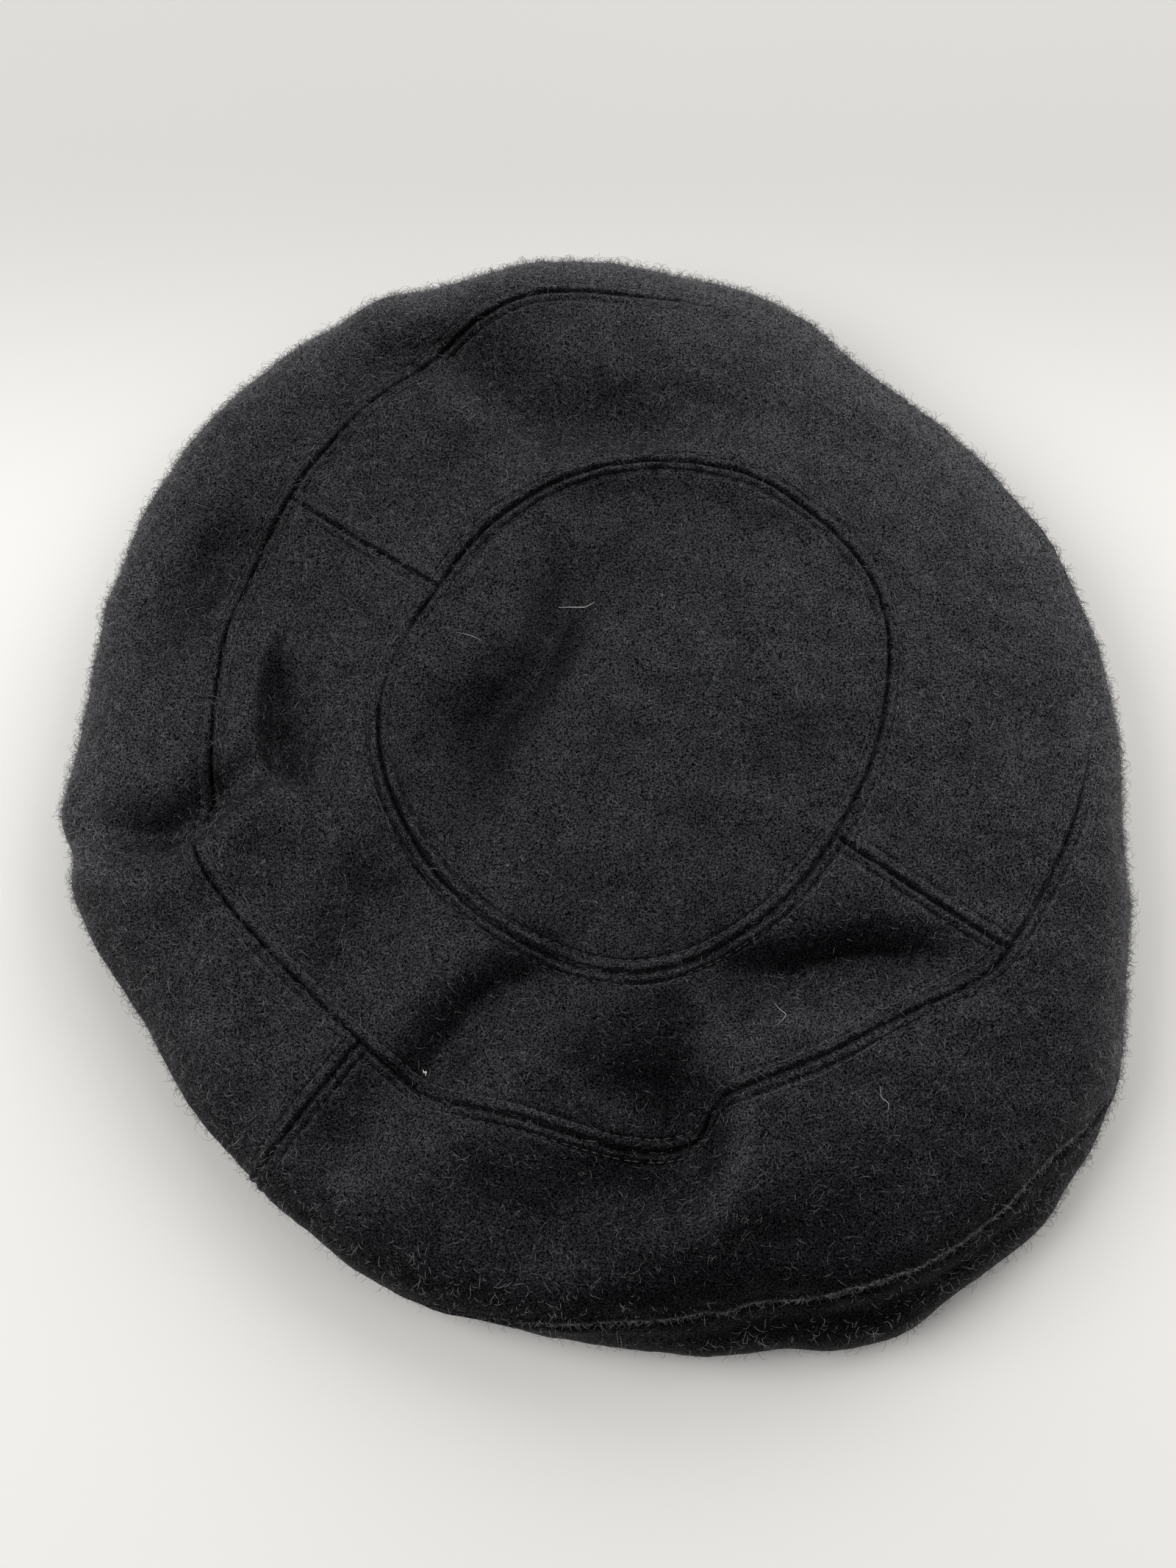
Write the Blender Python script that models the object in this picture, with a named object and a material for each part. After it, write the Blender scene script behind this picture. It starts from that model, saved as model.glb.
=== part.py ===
"""A soft wool beret resting crown up on its headband.

The shell is cut from seven pieces of cloth: a round tip, an inner ring in two halves, an outer ring in two
halves that rolls over the rim, and an under ring in two halves that runs back to the headband. A lining of
five pieces follows the inside, and a ribbed sweatband lines the headband. Everything is sewn cloth, so the
slumped shape is one smooth surface: a polar map from an angle and a reach to a point of the outer face.

Reach counts seams from the middle: 0 is the centre, 1 the tip seam, 2 the outer seam, 3 the edge seam and
4 the seam at the headband. Every piece is a patch of that map, given its thickness along the map's normal.
Metres, +Z up.
"""

import math

import bmesh
import bpy
import numpy as np

# ---- sizes -----------------------------------------------------------------------------------------------
CLOTH = 0.0018  # thickness of the melton wool
LINING = 0.0006  # thickness of the lining satin
HEADBAND_CLOTH = 0.0026  # the headband is cloth turned double
SWEATBAND = 0.0011  # thickness of the ribbed ribbon
SEAM_GAP = 0.0005  # room between two pieces where they are sewn
LAYER_GAP = 0.0004  # room between the shell and the lining

TIP_RADIUS = 0.068
INNER_RING_WIDTH = 0.047
OVERHANG = 0.040  # how far the rim lies outside the outer seam, seen from above
OUTER_RING_WIDTH = 0.058  # measured over the cloth, from the outer seam to the edge seam

HEAD_LENGTH = 0.202
HEAD_WIDTH = 0.176
HEADBAND_HEIGHT = 0.019
SWEATBAND_LIFT = 0.0012  # the ribbon ends this far above the headband's lower edge

CROWN_RISE = 0.007  # how far the middle stands above the outer seam
SHOULDER_HEIGHT = 0.0370  # height of the outer seam
RIM_HEIGHT = 0.013  # height of the widest point
HEEL = 0.012  # how far inside the rim the cloth turns level below
FLOOR_CLEARANCE = 0.0008  # height of the cloth's lowest point
DROOP = 0.010  # how far the outer seam hangs where it reaches the rim
DROOP_POWER = 8  # how late the cloth inside the seam starts to hang
UNDER_SLACK = (0.45, 0.85)  # how long the under ring keeps level at the rim, and how far in it starts to climb
FULLEST_RING = 0.9  # the outer ring never takes more than this share of the roll

# ---- where things lie, in degrees round the crown's centre -----------------------------------------------
INNER_SEAM_ANGLE = 146.25  # the two joins of the inner ring, half a turn apart
OUTER_SEAM_ANGLE = 230.625  # the two joins of the outer ring
UNDER_SEAM_ANGLE = 326.25  # the two joins of the under ring
HEAD_TURN = 50.0  # direction of the head opening's long axis
HEAD_SHIFT = (-0.008, -0.010)  # the opening's centre, from the crown's centre

# ---- the slumped outline: angle, then a factor on the size that is named ----------------------------------
TIP_SHAPE = (
    (0, 0.966), (30, 1.09), (60, 1.09), (90, 1.053), (120, 0.98), (150, 0.935),
    (180, 1.0), (210, 0.99), (240, 0.995), (270, 1.02), (300, 0.95), (330, 0.905),
)
OUTER_SEAM_SHAPE = (
    (5, 1.09), (12, 1.108), (22, 1.11), (32, 1.097), (42, 1.085), (52, 1.081), (60, 1.098), (67, 1.129),
    (74, 1.125), (81, 1.10), (88, 1.09), (95, 1.106), (103, 1.117), (111, 1.09), (118, 1.053), (126, 1.03),
    (135, 1.008), (144, 0.995), (155, 0.986), (166, 0.983), (177, 0.978), (187, 0.987), (192, 1.0),
    (196, 1.047), (200, 1.045), (205, 1.025), (212, 0.996), (219, 0.976), (229, 0.968), (237, 0.977),
    (242, 0.983), (247, 0.967), (254, 0.953), (262, 0.965), (269, 0.985), (274, 0.99), (278, 0.97),
    (281, 0.905), (286, 0.885), (293, 0.883), (300, 0.889), (308, 0.902), (313, 0.925), (318, 0.959),
    (323, 0.988), (329, 0.994), (337, 1.006), (346, 1.029), (352, 1.047), (358, 1.064),
)
OVERHANG_SHAPE = (
    (0, 0.255), (10, 0.103), (20, 0.05), (30, 0.04), (40, 0.063), (50, 0.07), (60, 0.07), (66, 0.116),
    (70, 0.185), (75, 0.259), (80, 0.35), (85, 0.405), (90, 0.425), (100, 0.435), (110, 0.52), (120, 0.78),
    (130, 0.88), (140, 0.977), (150, 1.025), (160, 1.007), (170, 0.992), (180, 1.015), (190, 1.09),
    (196, 0.94), (202, 0.938), (210, 0.95), (220, 1.063), (230, 1.12), (240, 1.15), (250, 1.255),
    (260, 1.248), (270, 1.23), (275, 1.257), (278, 1.336), (281, 1.555), (284, 1.648), (290, 1.765),
    (300, 1.705), (310, 1.588), (320, 1.248), (330, 0.92), (340, 0.638), (350, 0.387),
)
OUTER_RING_SHAPE = (
    (0, 1.0), (180, 1.0), (240, 1.01), (250, 1.0), (256, 0.955), (262, 0.868), (266, 0.811), (270, 0.77),
    (274, 0.748), (276.7, 0.75), (278, 0.785), (279.5, 0.833), (281.2, 0.898), (283, 0.935), (286.4, 0.967),
    (290, 0.988), (297, 1.006), (302, 1.012), (305.3, 0.993), (310.2, 0.943), (314.5, 0.895), (321, 0.92),
    (328, 1.02), (336, 1.06), (347, 1.03),
)
SHOULDER_SHAPE = (
    (0, 1.03), (45, 0.97), (90, 0.97), (135, 0.95), (180, 0.93), (225, 0.90), (270, 0.96), (310, 1.07),
)
RIM_HEIGHT_SHAPE = (
    (0, 1.10), (60, 1.25), (100, 1.15), (150, 1.0), (200, 0.95), (250, 0.9), (290, 0.62), (320, 0.75),
)
DROOP_SHAPE = (
    (0, 0.7), (10, 1.0), (30, 1.0), (45, 1.0), (60, 1.0), (70, 0.9), (80, 0.6), (92, 0.2), (106, 0), (180, 0),
    (250, 0), (325, 0), (340, 0.1), (350, 0.35),
)

# ---- folds: a line of (angle, reach, strength), then (height, width) on its left and right and the
# ---- rounding of the crease along the line, all counted in fold units -------------------------------------
FOLD_UNIT = 0.001
FOLDS = (
    {  # the long valley in the tip, steeper on one side
        "line": ((117, 0.63, 0.3), (131, 0.50, 0.9), (147, 0.45, 1), (167, 0.43, 1), (183, 0.48, 1),
                 (194, 0.53, 1), (207, 0.57, 0.9), (219, 0.65, 0.6), (230, 0.79, 0.2)),
        "left": (-12.0, 13), "right": (-12.0, 7), "edge": 1.2,
    },
    {  # the back of the tip seam stands up as a low ridge
        "line": ((118, 0.97, 0.3), (91, 0.93, 1), (70, 0.91, 1), (45, 0.92, 0.3)),
        "left": (1.4, 9), "right": (-1.5, 14), "edge": 5,
    },
    {  # small dents of the tip
        "line": ((107, 0.58, 1), (117, 0.66, 1)),
        "left": (-1.8, 8), "right": (-1.8, 8), "edge": 3,
    },
    {
        "line": ((101, 0.78, 1), (92, 0.80, 1)),
        "left": (-1.6, 7), "right": (-1.6, 7), "edge": 3,
    },
    {
        "line": ((337, 0.60, 1), (341, 0.72, 1)),
        "left": (-1.8, 9), "right": (-1.8, 9), "edge": 3,
    },
    {  # the back of the inner ring sags in a long arc
        "line": ((118, 1.92, 0.5), (113, 1.78, 1), (110, 1.60, 1), (106, 1.42, 1), (99, 1.28, 1), (90, 1.26, 1),
                 (80, 1.32, 0.5)),
        "left": (-7.0, 11), "right": (-7.0, 8), "edge": 2.5,
    },
    {  # dips outside the seam, back left
        "line": ((117, 2.10, 0.7), (123, 2.16, 1)),
        "left": (-4.5, 7), "right": (-4.5, 7), "edge": 2,
    },
    {
        "line": ((124, 2.36, 0.6), (130, 2.25, 1), (136, 2.16, 0.6)),
        "left": (-4.5, 7), "right": (-4.5, 8), "edge": 2,
    },
    {
        "line": ((149, 2.20, 0.6), (157, 2.25, 1), (163, 2.32, 1), (168, 2.50, 0.5)),
        "left": (-4.5, 9), "right": (-4.5, 9), "edge": 3,
    },
    {  # two soft dents of the inner ring, left
        "line": ((134, 1.50, 1), (139, 1.60, 1)),
        "left": (-2.2, 10), "right": (-2.2, 10), "edge": 3,
    },
    {
        "line": ((155, 1.50, 1), (159, 1.62, 1)),
        "left": (-2.2, 10), "right": (-2.2, 10), "edge": 3,
    },
    {  # the pocket that drops behind the seam on the left
        "line": ((162, 1.60, 0.05), (168, 1.70, 0.5), (174, 1.71, 1), (180, 1.69, 1), (186, 1.66, 1),
                 (190, 1.60, 0.7)),
        "left": (-9.0, 11), "right": (2.5, 7), "edge": 2.5,
    },
    {  # the pinched fold that runs out to the rim on the left, and the roll in front of it
        "line": ((184, 1.26, 0.2), (186, 1.48, 0.7), (188, 1.66, 1), (190, 1.83, 1), (192, 1.97, 1),
                 (194, 2.14, 1), (194.5, 2.30, 1), (193.5, 2.50, 1), (192, 2.68, 0.9), (191, 2.90, 0.6)),
        "left": (-11.0, 4), "right": (-11.0, 8), "edge": 1.0,
    },
    {
        "line": ((189, 1.36, 0.3), (192, 1.62, 1), (196, 1.86, 1), (199.5, 2.08, 1), (200, 2.30, 1),
                 (198, 2.55, 0.9), (196, 2.80, 0.6)),
        "left": (3.0, 9), "right": (3.0, 6), "edge": 2,
    },
    {  # a dent between the tip and the front left, and one on the seam
        "line": ((213, 1.44, 0.7), (217, 1.56, 1), (220, 1.66, 0.7)),
        "left": (-2.8, 9), "right": (-2.8, 9), "edge": 3,
    },
    {
        "line": ((221, 1.86, 1), (223, 1.96, 1)),
        "left": (-2.4, 6), "right": (-2.4, 6), "edge": 2,
    },
    {  # the crease from the tip towards the front join
        "line": ((252, 1.09, 0.5), (247, 1.22, 1), (244, 1.32, 1), (242, 1.45, 1), (241, 1.60, 1), (240.5, 1.77, 1),
                 (240, 1.95, 0.6)),
        "left": (-7.0, 8), "right": (-7.0, 5.5), "edge": 1.2,
    },
    {  # soft dents of the outer ring, front left
        "line": ((235, 2.24, 1), (236, 2.44, 1)),
        "left": (-2.0, 9), "right": (-2.0, 9), "edge": 3,
    },
    {
        "line": ((254, 2.40, 1), (259, 2.50, 1)),
        "left": (-2.2, 11), "right": (-2.2, 11), "edge": 3,
    },
    {  # the deep valley in front, steep against the bulge on its right
        "line": ((271, 1.00, 0.2), (273, 1.22, 0.7), (275, 1.48, 1), (277, 1.75, 1), (278.5, 1.98, 1),
                 (278.5, 2.10, 1), (275.5, 2.18, 1), (271, 2.23, 0.9), (266, 2.32, 0.6), (261, 2.44, 0.2)),
        "left": (-16.0, 6), "right": (-16.0, 12), "edge": 1.5,
    },
    {  # the bulge
        "line": ((285, 1.25, 0.2), (287, 1.60, 0.8), (290, 1.95, 1), (290, 2.15, 1), (284, 2.33, 1), (274, 2.42, 0.7),
                 (266, 2.52, 0.3)),
        "left": (2.5, 18), "right": (2.5, 12), "edge": 4,
    },
    {  # the arched crease below the front right join
        "line": ((290, 1.12, 0.5), (297, 1.33, 1), (304, 1.41, 1), (310, 1.49, 1), (315, 1.60, 1), (318.5, 1.77, 1),
                 (321, 1.93, 0.7), (322, 2.03, 0.2)),
        "left": (-18.0, 7), "right": (-18.0, 7.5), "edge": 1.2,
    },
    {  # the ridge along the outer seam, front right
        "line": ((290, 1.55, 0.5), (295, 1.68, 1), (303, 1.78, 1), (310, 1.85, 1), (318, 1.95, 0.3)),
        "left": (2.0, 8), "right": (2.0, 10), "edge": 3,
    },
    {
        "line": ((288, 1.40, 0.6), (292, 1.56, 1), (295, 1.70, 0.4)),
        "left": (-1.6, 4), "right": (-1.6, 4), "edge": 1.5,
    },
    {  # the crest where the front turns down, and the hollow below it
        "line": ((257, 2.97, 0.2), (262, 2.92, 0.6), (266, 2.88, 0.8), (270, 2.84, 0.9), (276.7, 2.79, 1),
                 (283, 2.795, 1), (290, 2.78, 1), (297, 2.79, 1), (305, 2.81, 1), (311, 2.81, 0.7), (318, 2.83, 0.2)),
        "left": (6.5, 12), "right": (6.5, 3.5), "edge": 1.2,
    },
    {
        "line": ((264, 2.97, 0.3), (270, 2.925, 0.8), (276.7, 2.88, 1), (290, 2.87, 1), (300, 2.885, 1),
                 (310, 2.89, 0.6), (318, 2.91, 0.2)),
        "left": (-8.0, 5), "right": (-8.0, 4.5), "edge": 1.5,
    },
)
FOLD_FALL = 1.5  # how fast the flank of a fold levels out
FOLD_LIMIT = 0.0120  # folds that meet never sink further than this
STIFFNESS = 0.005  # creases sharper than this are rounded off in the solids

# ---- how finely the cloth is divided ---------------------------------------------------------------------
COLUMNS = 64  # round the crown: a multiple of eight
INNER_ROWS = 6
OUTER_ROWS = 7
UNDER_ROWS = 8
UNDER_CROWDING = 1.35  # how much closer the under ring's rows lie at the rim, where it turns most
BAND_ROWS = 1
PROFILE_STEPS = 60
LINE_STEPS = 4  # how finely a fold's line is divided between two stations
LINE_BLEND = 0.003  # how far apart two stretches of a line still act together
SLOPE_ANGLE = 0.2  # steps over which the map's slopes are measured, in degrees and in reach
SLOPE_REACH = 0.008
CUT_REACH = 0.1  # how far from a seam the way is taken along which a cut edge stands back from it
SHARP_ANGLE = 50.0  # edges that turn more than this, in degrees, are shaded sharp


# ---- the surface -----------------------------------------------------------------------------------------
def around(stations, angle):
    """Smooth value at an angle in degrees, through stations that close on themselves."""
    knots = np.array([station[0] for station in stations], float)
    values = np.array([station[1] for station in stations], float)
    knots = np.concatenate([knots - 360, knots, knots + 360])
    values = np.tile(values, 3)
    slopes = np.gradient(values, knots)
    angle = np.asarray(angle, float) % 360
    i = np.searchsorted(knots, angle, side="right") - 1
    span = knots[i + 1] - knots[i]
    t = (angle - knots[i]) / span
    start = values[i] * (1 + 2 * t) * (1 - t) ** 2 + slopes[i] * span * t * (1 - t) ** 2
    end = values[i + 1] * t * t * (3 - 2 * t) - slopes[i + 1] * span * t * t * (1 - t)
    return start + end


def smooth_line(values, at):
    """Values at places along a row of stations, on a curve through them."""
    i = np.minimum(at.astype(int), len(values) - 2)
    t = at - i
    slopes = np.gradient(values)
    start = values[i] * (1 + 2 * t) * (1 - t) ** 2 + slopes[i] * t * (1 - t) ** 2
    return start + values[i + 1] * t * t * (3 - 2 * t) - slopes[i + 1] * t * t * (1 - t)


def tip_seam_radius(angle):
    return TIP_RADIUS * around(TIP_SHAPE, angle)


def outer_seam_radius(angle):
    return (TIP_RADIUS + INNER_RING_WIDTH) * around(OUTER_SEAM_SHAPE, angle)


def rim_radius(angle):
    return outer_seam_radius(angle) + OVERHANG * around(OVERHANG_SHAPE, angle)


def head_radius(angle):
    """Distance from the crown's centre to the outside of the headband, along an angle."""
    turn = np.radians(np.asarray(angle, float) - HEAD_TURN)
    shift = math.radians(-HEAD_TURN)
    sx = HEAD_SHIFT[0] * math.cos(shift) - HEAD_SHIFT[1] * math.sin(shift)
    sy = HEAD_SHIFT[0] * math.sin(shift) + HEAD_SHIFT[1] * math.cos(shift)
    a, b = HEAD_LENGTH / 2, HEAD_WIDTH / 2
    ux, uy = np.cos(turn) / a, np.sin(turn) / b
    cx, cy = -sx / a, -sy / b
    along = ux * ux + uy * uy
    across = ux * cx + uy * cy
    return (-across + np.sqrt(across ** 2 - along * (cx * cx + cy * cy - 1))) / along


def shoulder_height(angle):
    return SHOULDER_HEIGHT * around(SHOULDER_SHAPE, angle)


def droop(angle):
    return DROOP * around(DROOP_SHAPE, angle)


def plan_radius(angle, reach):
    """Distance from the centre, seen from above, of a place on the top: reach 3 is the rim here."""
    tip, seam, rim = tip_seam_radius(angle), outer_seam_radius(angle), rim_radius(angle)
    return np.interp(reach, (0, 1, 2, 3), (0, tip, seam, rim))


def roll(angle):
    """The cloth's section at one angle, from the outer seam over the rim and under to the headband."""
    seam, rim, head = outer_seam_radius(angle), rim_radius(angle), head_radius(angle) + SEAM_GAP
    top, widest = shoulder_height(angle) - droop(angle), RIM_HEIGHT * around(RIM_HEIGHT_SHAPE, angle)
    lean = DROOP_POWER * droop(angle) / seam
    begin = lean / ((top - widest) / (rim - seam) - lean)
    quarter = np.linspace(math.asin(begin), math.pi / 2, PROFILE_STEPS)
    over = (
        seam + (rim - seam) * (np.sin(quarter) - begin) / (1 - begin),
        widest + (top - widest) * np.cos(quarter) / math.sqrt(1 - begin ** 2),
    )
    quarter = np.linspace(0, math.pi / 2, PROFILE_STEPS)
    depth = widest - FLOOR_CLEARANCE
    heel = rim - HEEL * (1 - np.cos(quarter)), FLOOR_CLEARANCE + depth * (1 - np.sin(quarter))
    span, climb = rim - HEEL - head, HEADBAND_HEIGHT - FLOOR_CLEARANCE
    t = np.linspace(0, 1, PROFILE_STEPS)
    first, second, last = 3 * t * (1 - t) ** 2, 3 * t * t * (1 - t), t ** 3
    under_r = rim - HEEL - span * (UNDER_SLACK[0] * first + UNDER_SLACK[1] * second + last)
    under_z = FLOOR_CLEARANCE + climb * (UNDER_SLACK[0] * second + last)
    radius = np.concatenate([over[0], heel[0][1:], under_r[1:]])
    height = np.concatenate([over[1], heel[1][1:], under_z[1:]])
    length = np.concatenate([[0], np.cumsum(np.hypot(np.diff(radius), np.diff(height)))])
    return radius, height, length


def fold_lines():
    """The folds with their lines in plan, ready to measure from, and their widths as the solids take them."""
    lines = []
    for fold in FOLDS:
        stations = np.array(fold["line"], float)
        at = np.linspace(0, len(stations) - 1, LINE_STEPS * (len(stations) - 1) + 1)
        angles, reaches, strengths = (smooth_line(values, at) for values in stations.T)
        radius = np.array([plan_radius(angle, reach) for angle, reach in zip(angles, reaches)])
        line = np.stack([radius * np.cos(np.radians(angles)), radius * np.sin(np.radians(angles))], -1)
        left, right = (
            (height * FOLD_UNIT, math.hypot(width * FOLD_UNIT, STIFFNESS))
            for height, width in (fold["left"], fold["right"])
        )
        lines.append((line, strengths, left, right, math.hypot(fold["edge"] * FOLD_UNIT, STIFFNESS)))
    return lines


def fold_height(x, y, lines):
    """Rise or fall of the cloth at places in plan, summed over the folds."""
    rise = np.zeros_like(x)
    place = np.stack([x, y], -1)[:, None]
    for line, strengths, left, right, edge in lines:
        step = np.diff(line, axis=0)
        t = np.clip(((place - line[:-1]) * step).sum(-1) / (step ** 2).sum(-1), 0, 1)
        off = place - line[:-1] - t[..., None] * step
        gap = np.linalg.norm(off, axis=-1)
        nearest = gap.min(1)
        share = np.exp(-(gap ** 2 - nearest[:, None] ** 2) / (2 * LINE_BLEND ** 2))
        share /= share.sum(1, keepdims=True)
        side = (step[:, 0] * off[..., 1] - step[:, 1] * off[..., 0]) / np.linalg.norm(step, axis=1)
        side = (share * side / np.maximum(gap, edge)).sum(1)
        strength = (share * (strengths[:-1] + t * np.diff(strengths))).sum(1)
        mix = 0.5 + 0.25 * side * (3 - side * side)
        away = np.hypot(nearest, edge) - edge
        left_rise = left[0] * np.exp(-(away / left[1]) ** FOLD_FALL)
        right_rise = right[0] * np.exp(-(away / right[1]) ** FOLD_FALL)
        rise += strength * (mix * left_rise + (1 - mix) * right_rise)
    return np.where(rise < 0, FOLD_LIMIT * np.tanh(rise / FOLD_LIMIT), rise)


def surface(angle, reach, lines):
    """Points of the outer face for arrays of angle in degrees and reach in seams."""
    angle, reach = np.broadcast_arrays(np.asarray(angle, float), np.asarray(reach, float))
    radius, height, firm = np.empty(angle.shape), np.empty(angle.shape), np.empty(angle.shape)
    for i in np.ndindex(angle.shape):
        seam, top = outer_seam_radius(angle[i]), shoulder_height(angle[i])
        if reach[i] <= 2:
            radius[i] = plan_radius(angle[i], reach[i])
            inside = min(radius[i] / seam, 1)
            height[i] = SHOULDER_HEIGHT + (top - SHOULDER_HEIGHT) * inside ** 2 + CROWN_RISE * (1 - inside ** 2) ** 2
            height[i] -= droop(angle[i]) * inside ** DROOP_POWER
            firm[i] = 1
            continue
        along_r, along_z, length = roll(angle[i])
        ring = min(OUTER_RING_WIDTH * around(OUTER_RING_SHAPE, angle[i]), FULLEST_RING * length[-1])
        place = (reach[i] - 2) * ring if reach[i] <= 3 else ring + (reach[i] - 3) * (length[-1] - ring)
        radius[i] = np.interp(place, length, along_r)
        height[i] = np.interp(place, length, along_z)
        widest = np.argmax(along_r)
        fade = 1 - np.clip(place / length[widest], 0, 1)
        firm[i] = fade * (2 - fade)
    x, y = radius * np.cos(np.radians(angle)), radius * np.sin(np.radians(angle))
    height = height + firm * fold_height(x, y, lines)
    return np.stack([x, y, height], -1)


def normals(angle, reach, lines):
    """Unit normals of the outer face, pointing out of the beret."""
    angle, reach = np.broadcast_arrays(np.asarray(angle, float), np.asarray(reach, float))
    before, after = np.clip(reach - SLOPE_REACH, 0, 4), np.clip(reach + SLOPE_REACH, 0, 4)
    off_centre = np.maximum(reach, SLOPE_REACH)
    round_it = surface(angle + SLOPE_ANGLE, off_centre, lines) - surface(angle - SLOPE_ANGLE, off_centre, lines)
    out_of_it = surface(angle, after, lines) - surface(angle, before, lines)
    normal = np.cross(out_of_it, round_it)
    return normal / np.linalg.norm(normal, axis=-1, keepdims=True)


# ---- building --------------------------------------------------------------------------------------------
def clear_scene():
    for item in list(bpy.data.objects):
        bpy.data.objects.remove(item)


def material(name, colour, roughness, sheen=0.0):
    """A matte cloth: linear colour, roughness and the soft light of its fibres."""
    new = bpy.data.materials.new(name)
    new.use_nodes = True
    shader = new.node_tree.nodes["Principled BSDF"]
    shader.inputs["Base Color"].default_value = (*colour, 1)
    shader.inputs["Roughness"].default_value = roughness
    shader.inputs["Metallic"].default_value = 0
    shader.inputs["Sheen Weight"].default_value = sheen
    return new


def slab(name, columns, rows, outer, inner, cloth, collection):
    """A closed piece of cloth: a grid laid on the outer points and extruded to the inner points.

    outer and inner hold (columns + 1) * (rows + 1) points, with the rows running fastest.
    """
    mesh = bpy.data.meshes.new(name)
    bm = bmesh.new()
    place = bm.verts.layers.int.new("place")
    grid = bmesh.ops.create_grid(bm, x_segments=columns, y_segments=rows, size=0.5)
    for vert in grid["verts"]:
        column, row = round((vert.co.x + 0.5) * columns), round((vert.co.y + 0.5) * rows)
        vert[place] = column * (rows + 1) + row
        vert.co = outer[vert[place]]
    bmesh.ops.triangulate(bm, faces=bm.faces[:], quad_method="FIXED")
    made = bmesh.ops.extrude_face_region(bm, geom=bm.faces[:], use_keep_orig=True)
    for item in made["geom"]:
        if isinstance(item, bmesh.types.BMVert):
            item.co = inner[item[place]]
    bmesh.ops.triangulate(bm, faces=[face for face in bm.faces if len(face.verts) == 4], quad_method="SHORT_EDGE")
    bmesh.ops.recalc_face_normals(bm, faces=bm.faces[:])
    bm.to_mesh(mesh)
    bm.free()
    mesh.shade_smooth()
    mesh.set_sharp_from_angle(angle=math.radians(SHARP_ANGLE))
    mesh.materials.append(cloth)
    piece = bpy.data.objects.new(name, mesh)
    collection.objects.link(piece)
    return piece


def disc_places(cells):
    """Angle and reach of a square grid squeezed into the tip, with evenly spaced places on its seam."""
    line = np.linspace(-1, 1, cells + 1)
    u, v = np.meshgrid(line, line, indexing="ij")
    wide = np.abs(u) >= np.abs(v)
    far = np.where(wide, u, v)
    ratio = np.divide(np.where(wide, v, u), far, out=np.zeros_like(u), where=far != 0)
    angle = np.where(wide, 45 * ratio, 90 - 45 * ratio) + np.where(far < 0, 180, 0)
    return angle.ravel(), np.abs(far).ravel()


def cloth_piece(name, columns, rows, points, out, layer, cloth, collection):
    """A patch of the map with its thickness, from points of the outer face and the normals there."""
    depth, thickness = layer
    return slab(name, columns, rows, points - out * depth, points - out * (depth + thickness), cloth, collection)


def half_ring(name, start, reaches, layer, cloth, collection, lines):
    """Half of a ring between two seams, from a join at a start angle round to the opposite join.

    The cut edges lie half a seam gap inside the seams. They keep the seams' own normals, so that the edges
    of two neighbours stay parallel.
    """
    columns, rows = COLUMNS // 2, len(reaches) - 1
    turns = start + np.linspace(0, 180, columns + 1)
    angle, reach = (values.ravel() for values in np.meshgrid(turns, reaches, indexing="ij"))
    column, row = np.divmod(np.arange(angle.size), rows + 1)
    out = normals(angle, reach, lines)
    radius = np.hypot(*surface(angle, reach, lines)[:, :2].T)
    nudge = np.degrees(SEAM_GAP / 2 / radius)
    angle = angle + np.where(column == 0, nudge, 0) - np.where(column == columns, nudge, 0)
    points = surface(angle, reach, lines)
    for edge, inward in ((0, 1), (rows, -1)):
        if reaches[edge] == 4:
            continue
        on_edge = row == edge
        beside = surface(angle[on_edge], reach[on_edge] + CUT_REACH * inward, lines) - points[on_edge]
        beside /= np.linalg.norm(beside, axis=1, keepdims=True)
        points[on_edge] += beside * SEAM_GAP / 2
    return cloth_piece(name, columns, rows, points, out, layer, cloth, collection)


def disc(name, layer, cloth, collection, lines):
    """The round piece inside the tip seam."""
    cells = COLUMNS // 4
    angle, reach = disc_places(cells)
    angle = angle + snapped(INNER_SEAM_ANGLE)
    out = normals(angle, reach, lines)
    points = surface(angle, reach * (1 - SEAM_GAP / 2 / TIP_RADIUS), lines)
    return cloth_piece(name, cells, cells, points, out, layer, cloth, collection)


def band(name, outside, thickness, low, high, cloth, collection):
    """A strip standing round the head opening, its ends meeting at the front join."""
    columns = COLUMNS
    turns = snapped(OUTER_SEAM_ANGLE) + np.linspace(0, 360, columns + 1)
    heights = np.linspace(low, high, BAND_ROWS + 1)
    angle, height = (values.ravel() for values in np.meshgrid(turns, heights, indexing="ij"))
    radius = head_radius(angle)
    nudge = np.degrees(SEAM_GAP / 2 / radius)
    column = np.arange(angle.size) // (BAND_ROWS + 1)
    angle = angle + np.where(column == 0, nudge, 0) - np.where(column == columns, nudge, 0)

    def wall(inset):
        turn = np.radians(angle)
        return np.stack([(radius - inset) * np.cos(turn), (radius - inset) * np.sin(turn), height], -1)

    return slab(name, columns, BAND_ROWS, wall(outside), wall(outside + thickness), cloth, collection)


def snapped(angle):
    """The column of the grid that is nearest to an angle, so that neighbours share their corners."""
    step = 360 / COLUMNS
    return round(angle / step) * step


def stand_on_floor(pieces):
    """Moves the pieces so that the middle of the outline is over the origin and the lowest point is at 0."""
    corners = np.array([vert.co for piece in pieces for vert in piece.data.vertices])
    low, high = corners.min(0), corners.max(0)
    for piece in pieces:
        for vert in piece.data.vertices:
            vert.co.x -= (low[0] + high[0]) / 2
            vert.co.y -= (low[1] + high[1]) / 2
            vert.co.z -= low[2]


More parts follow.
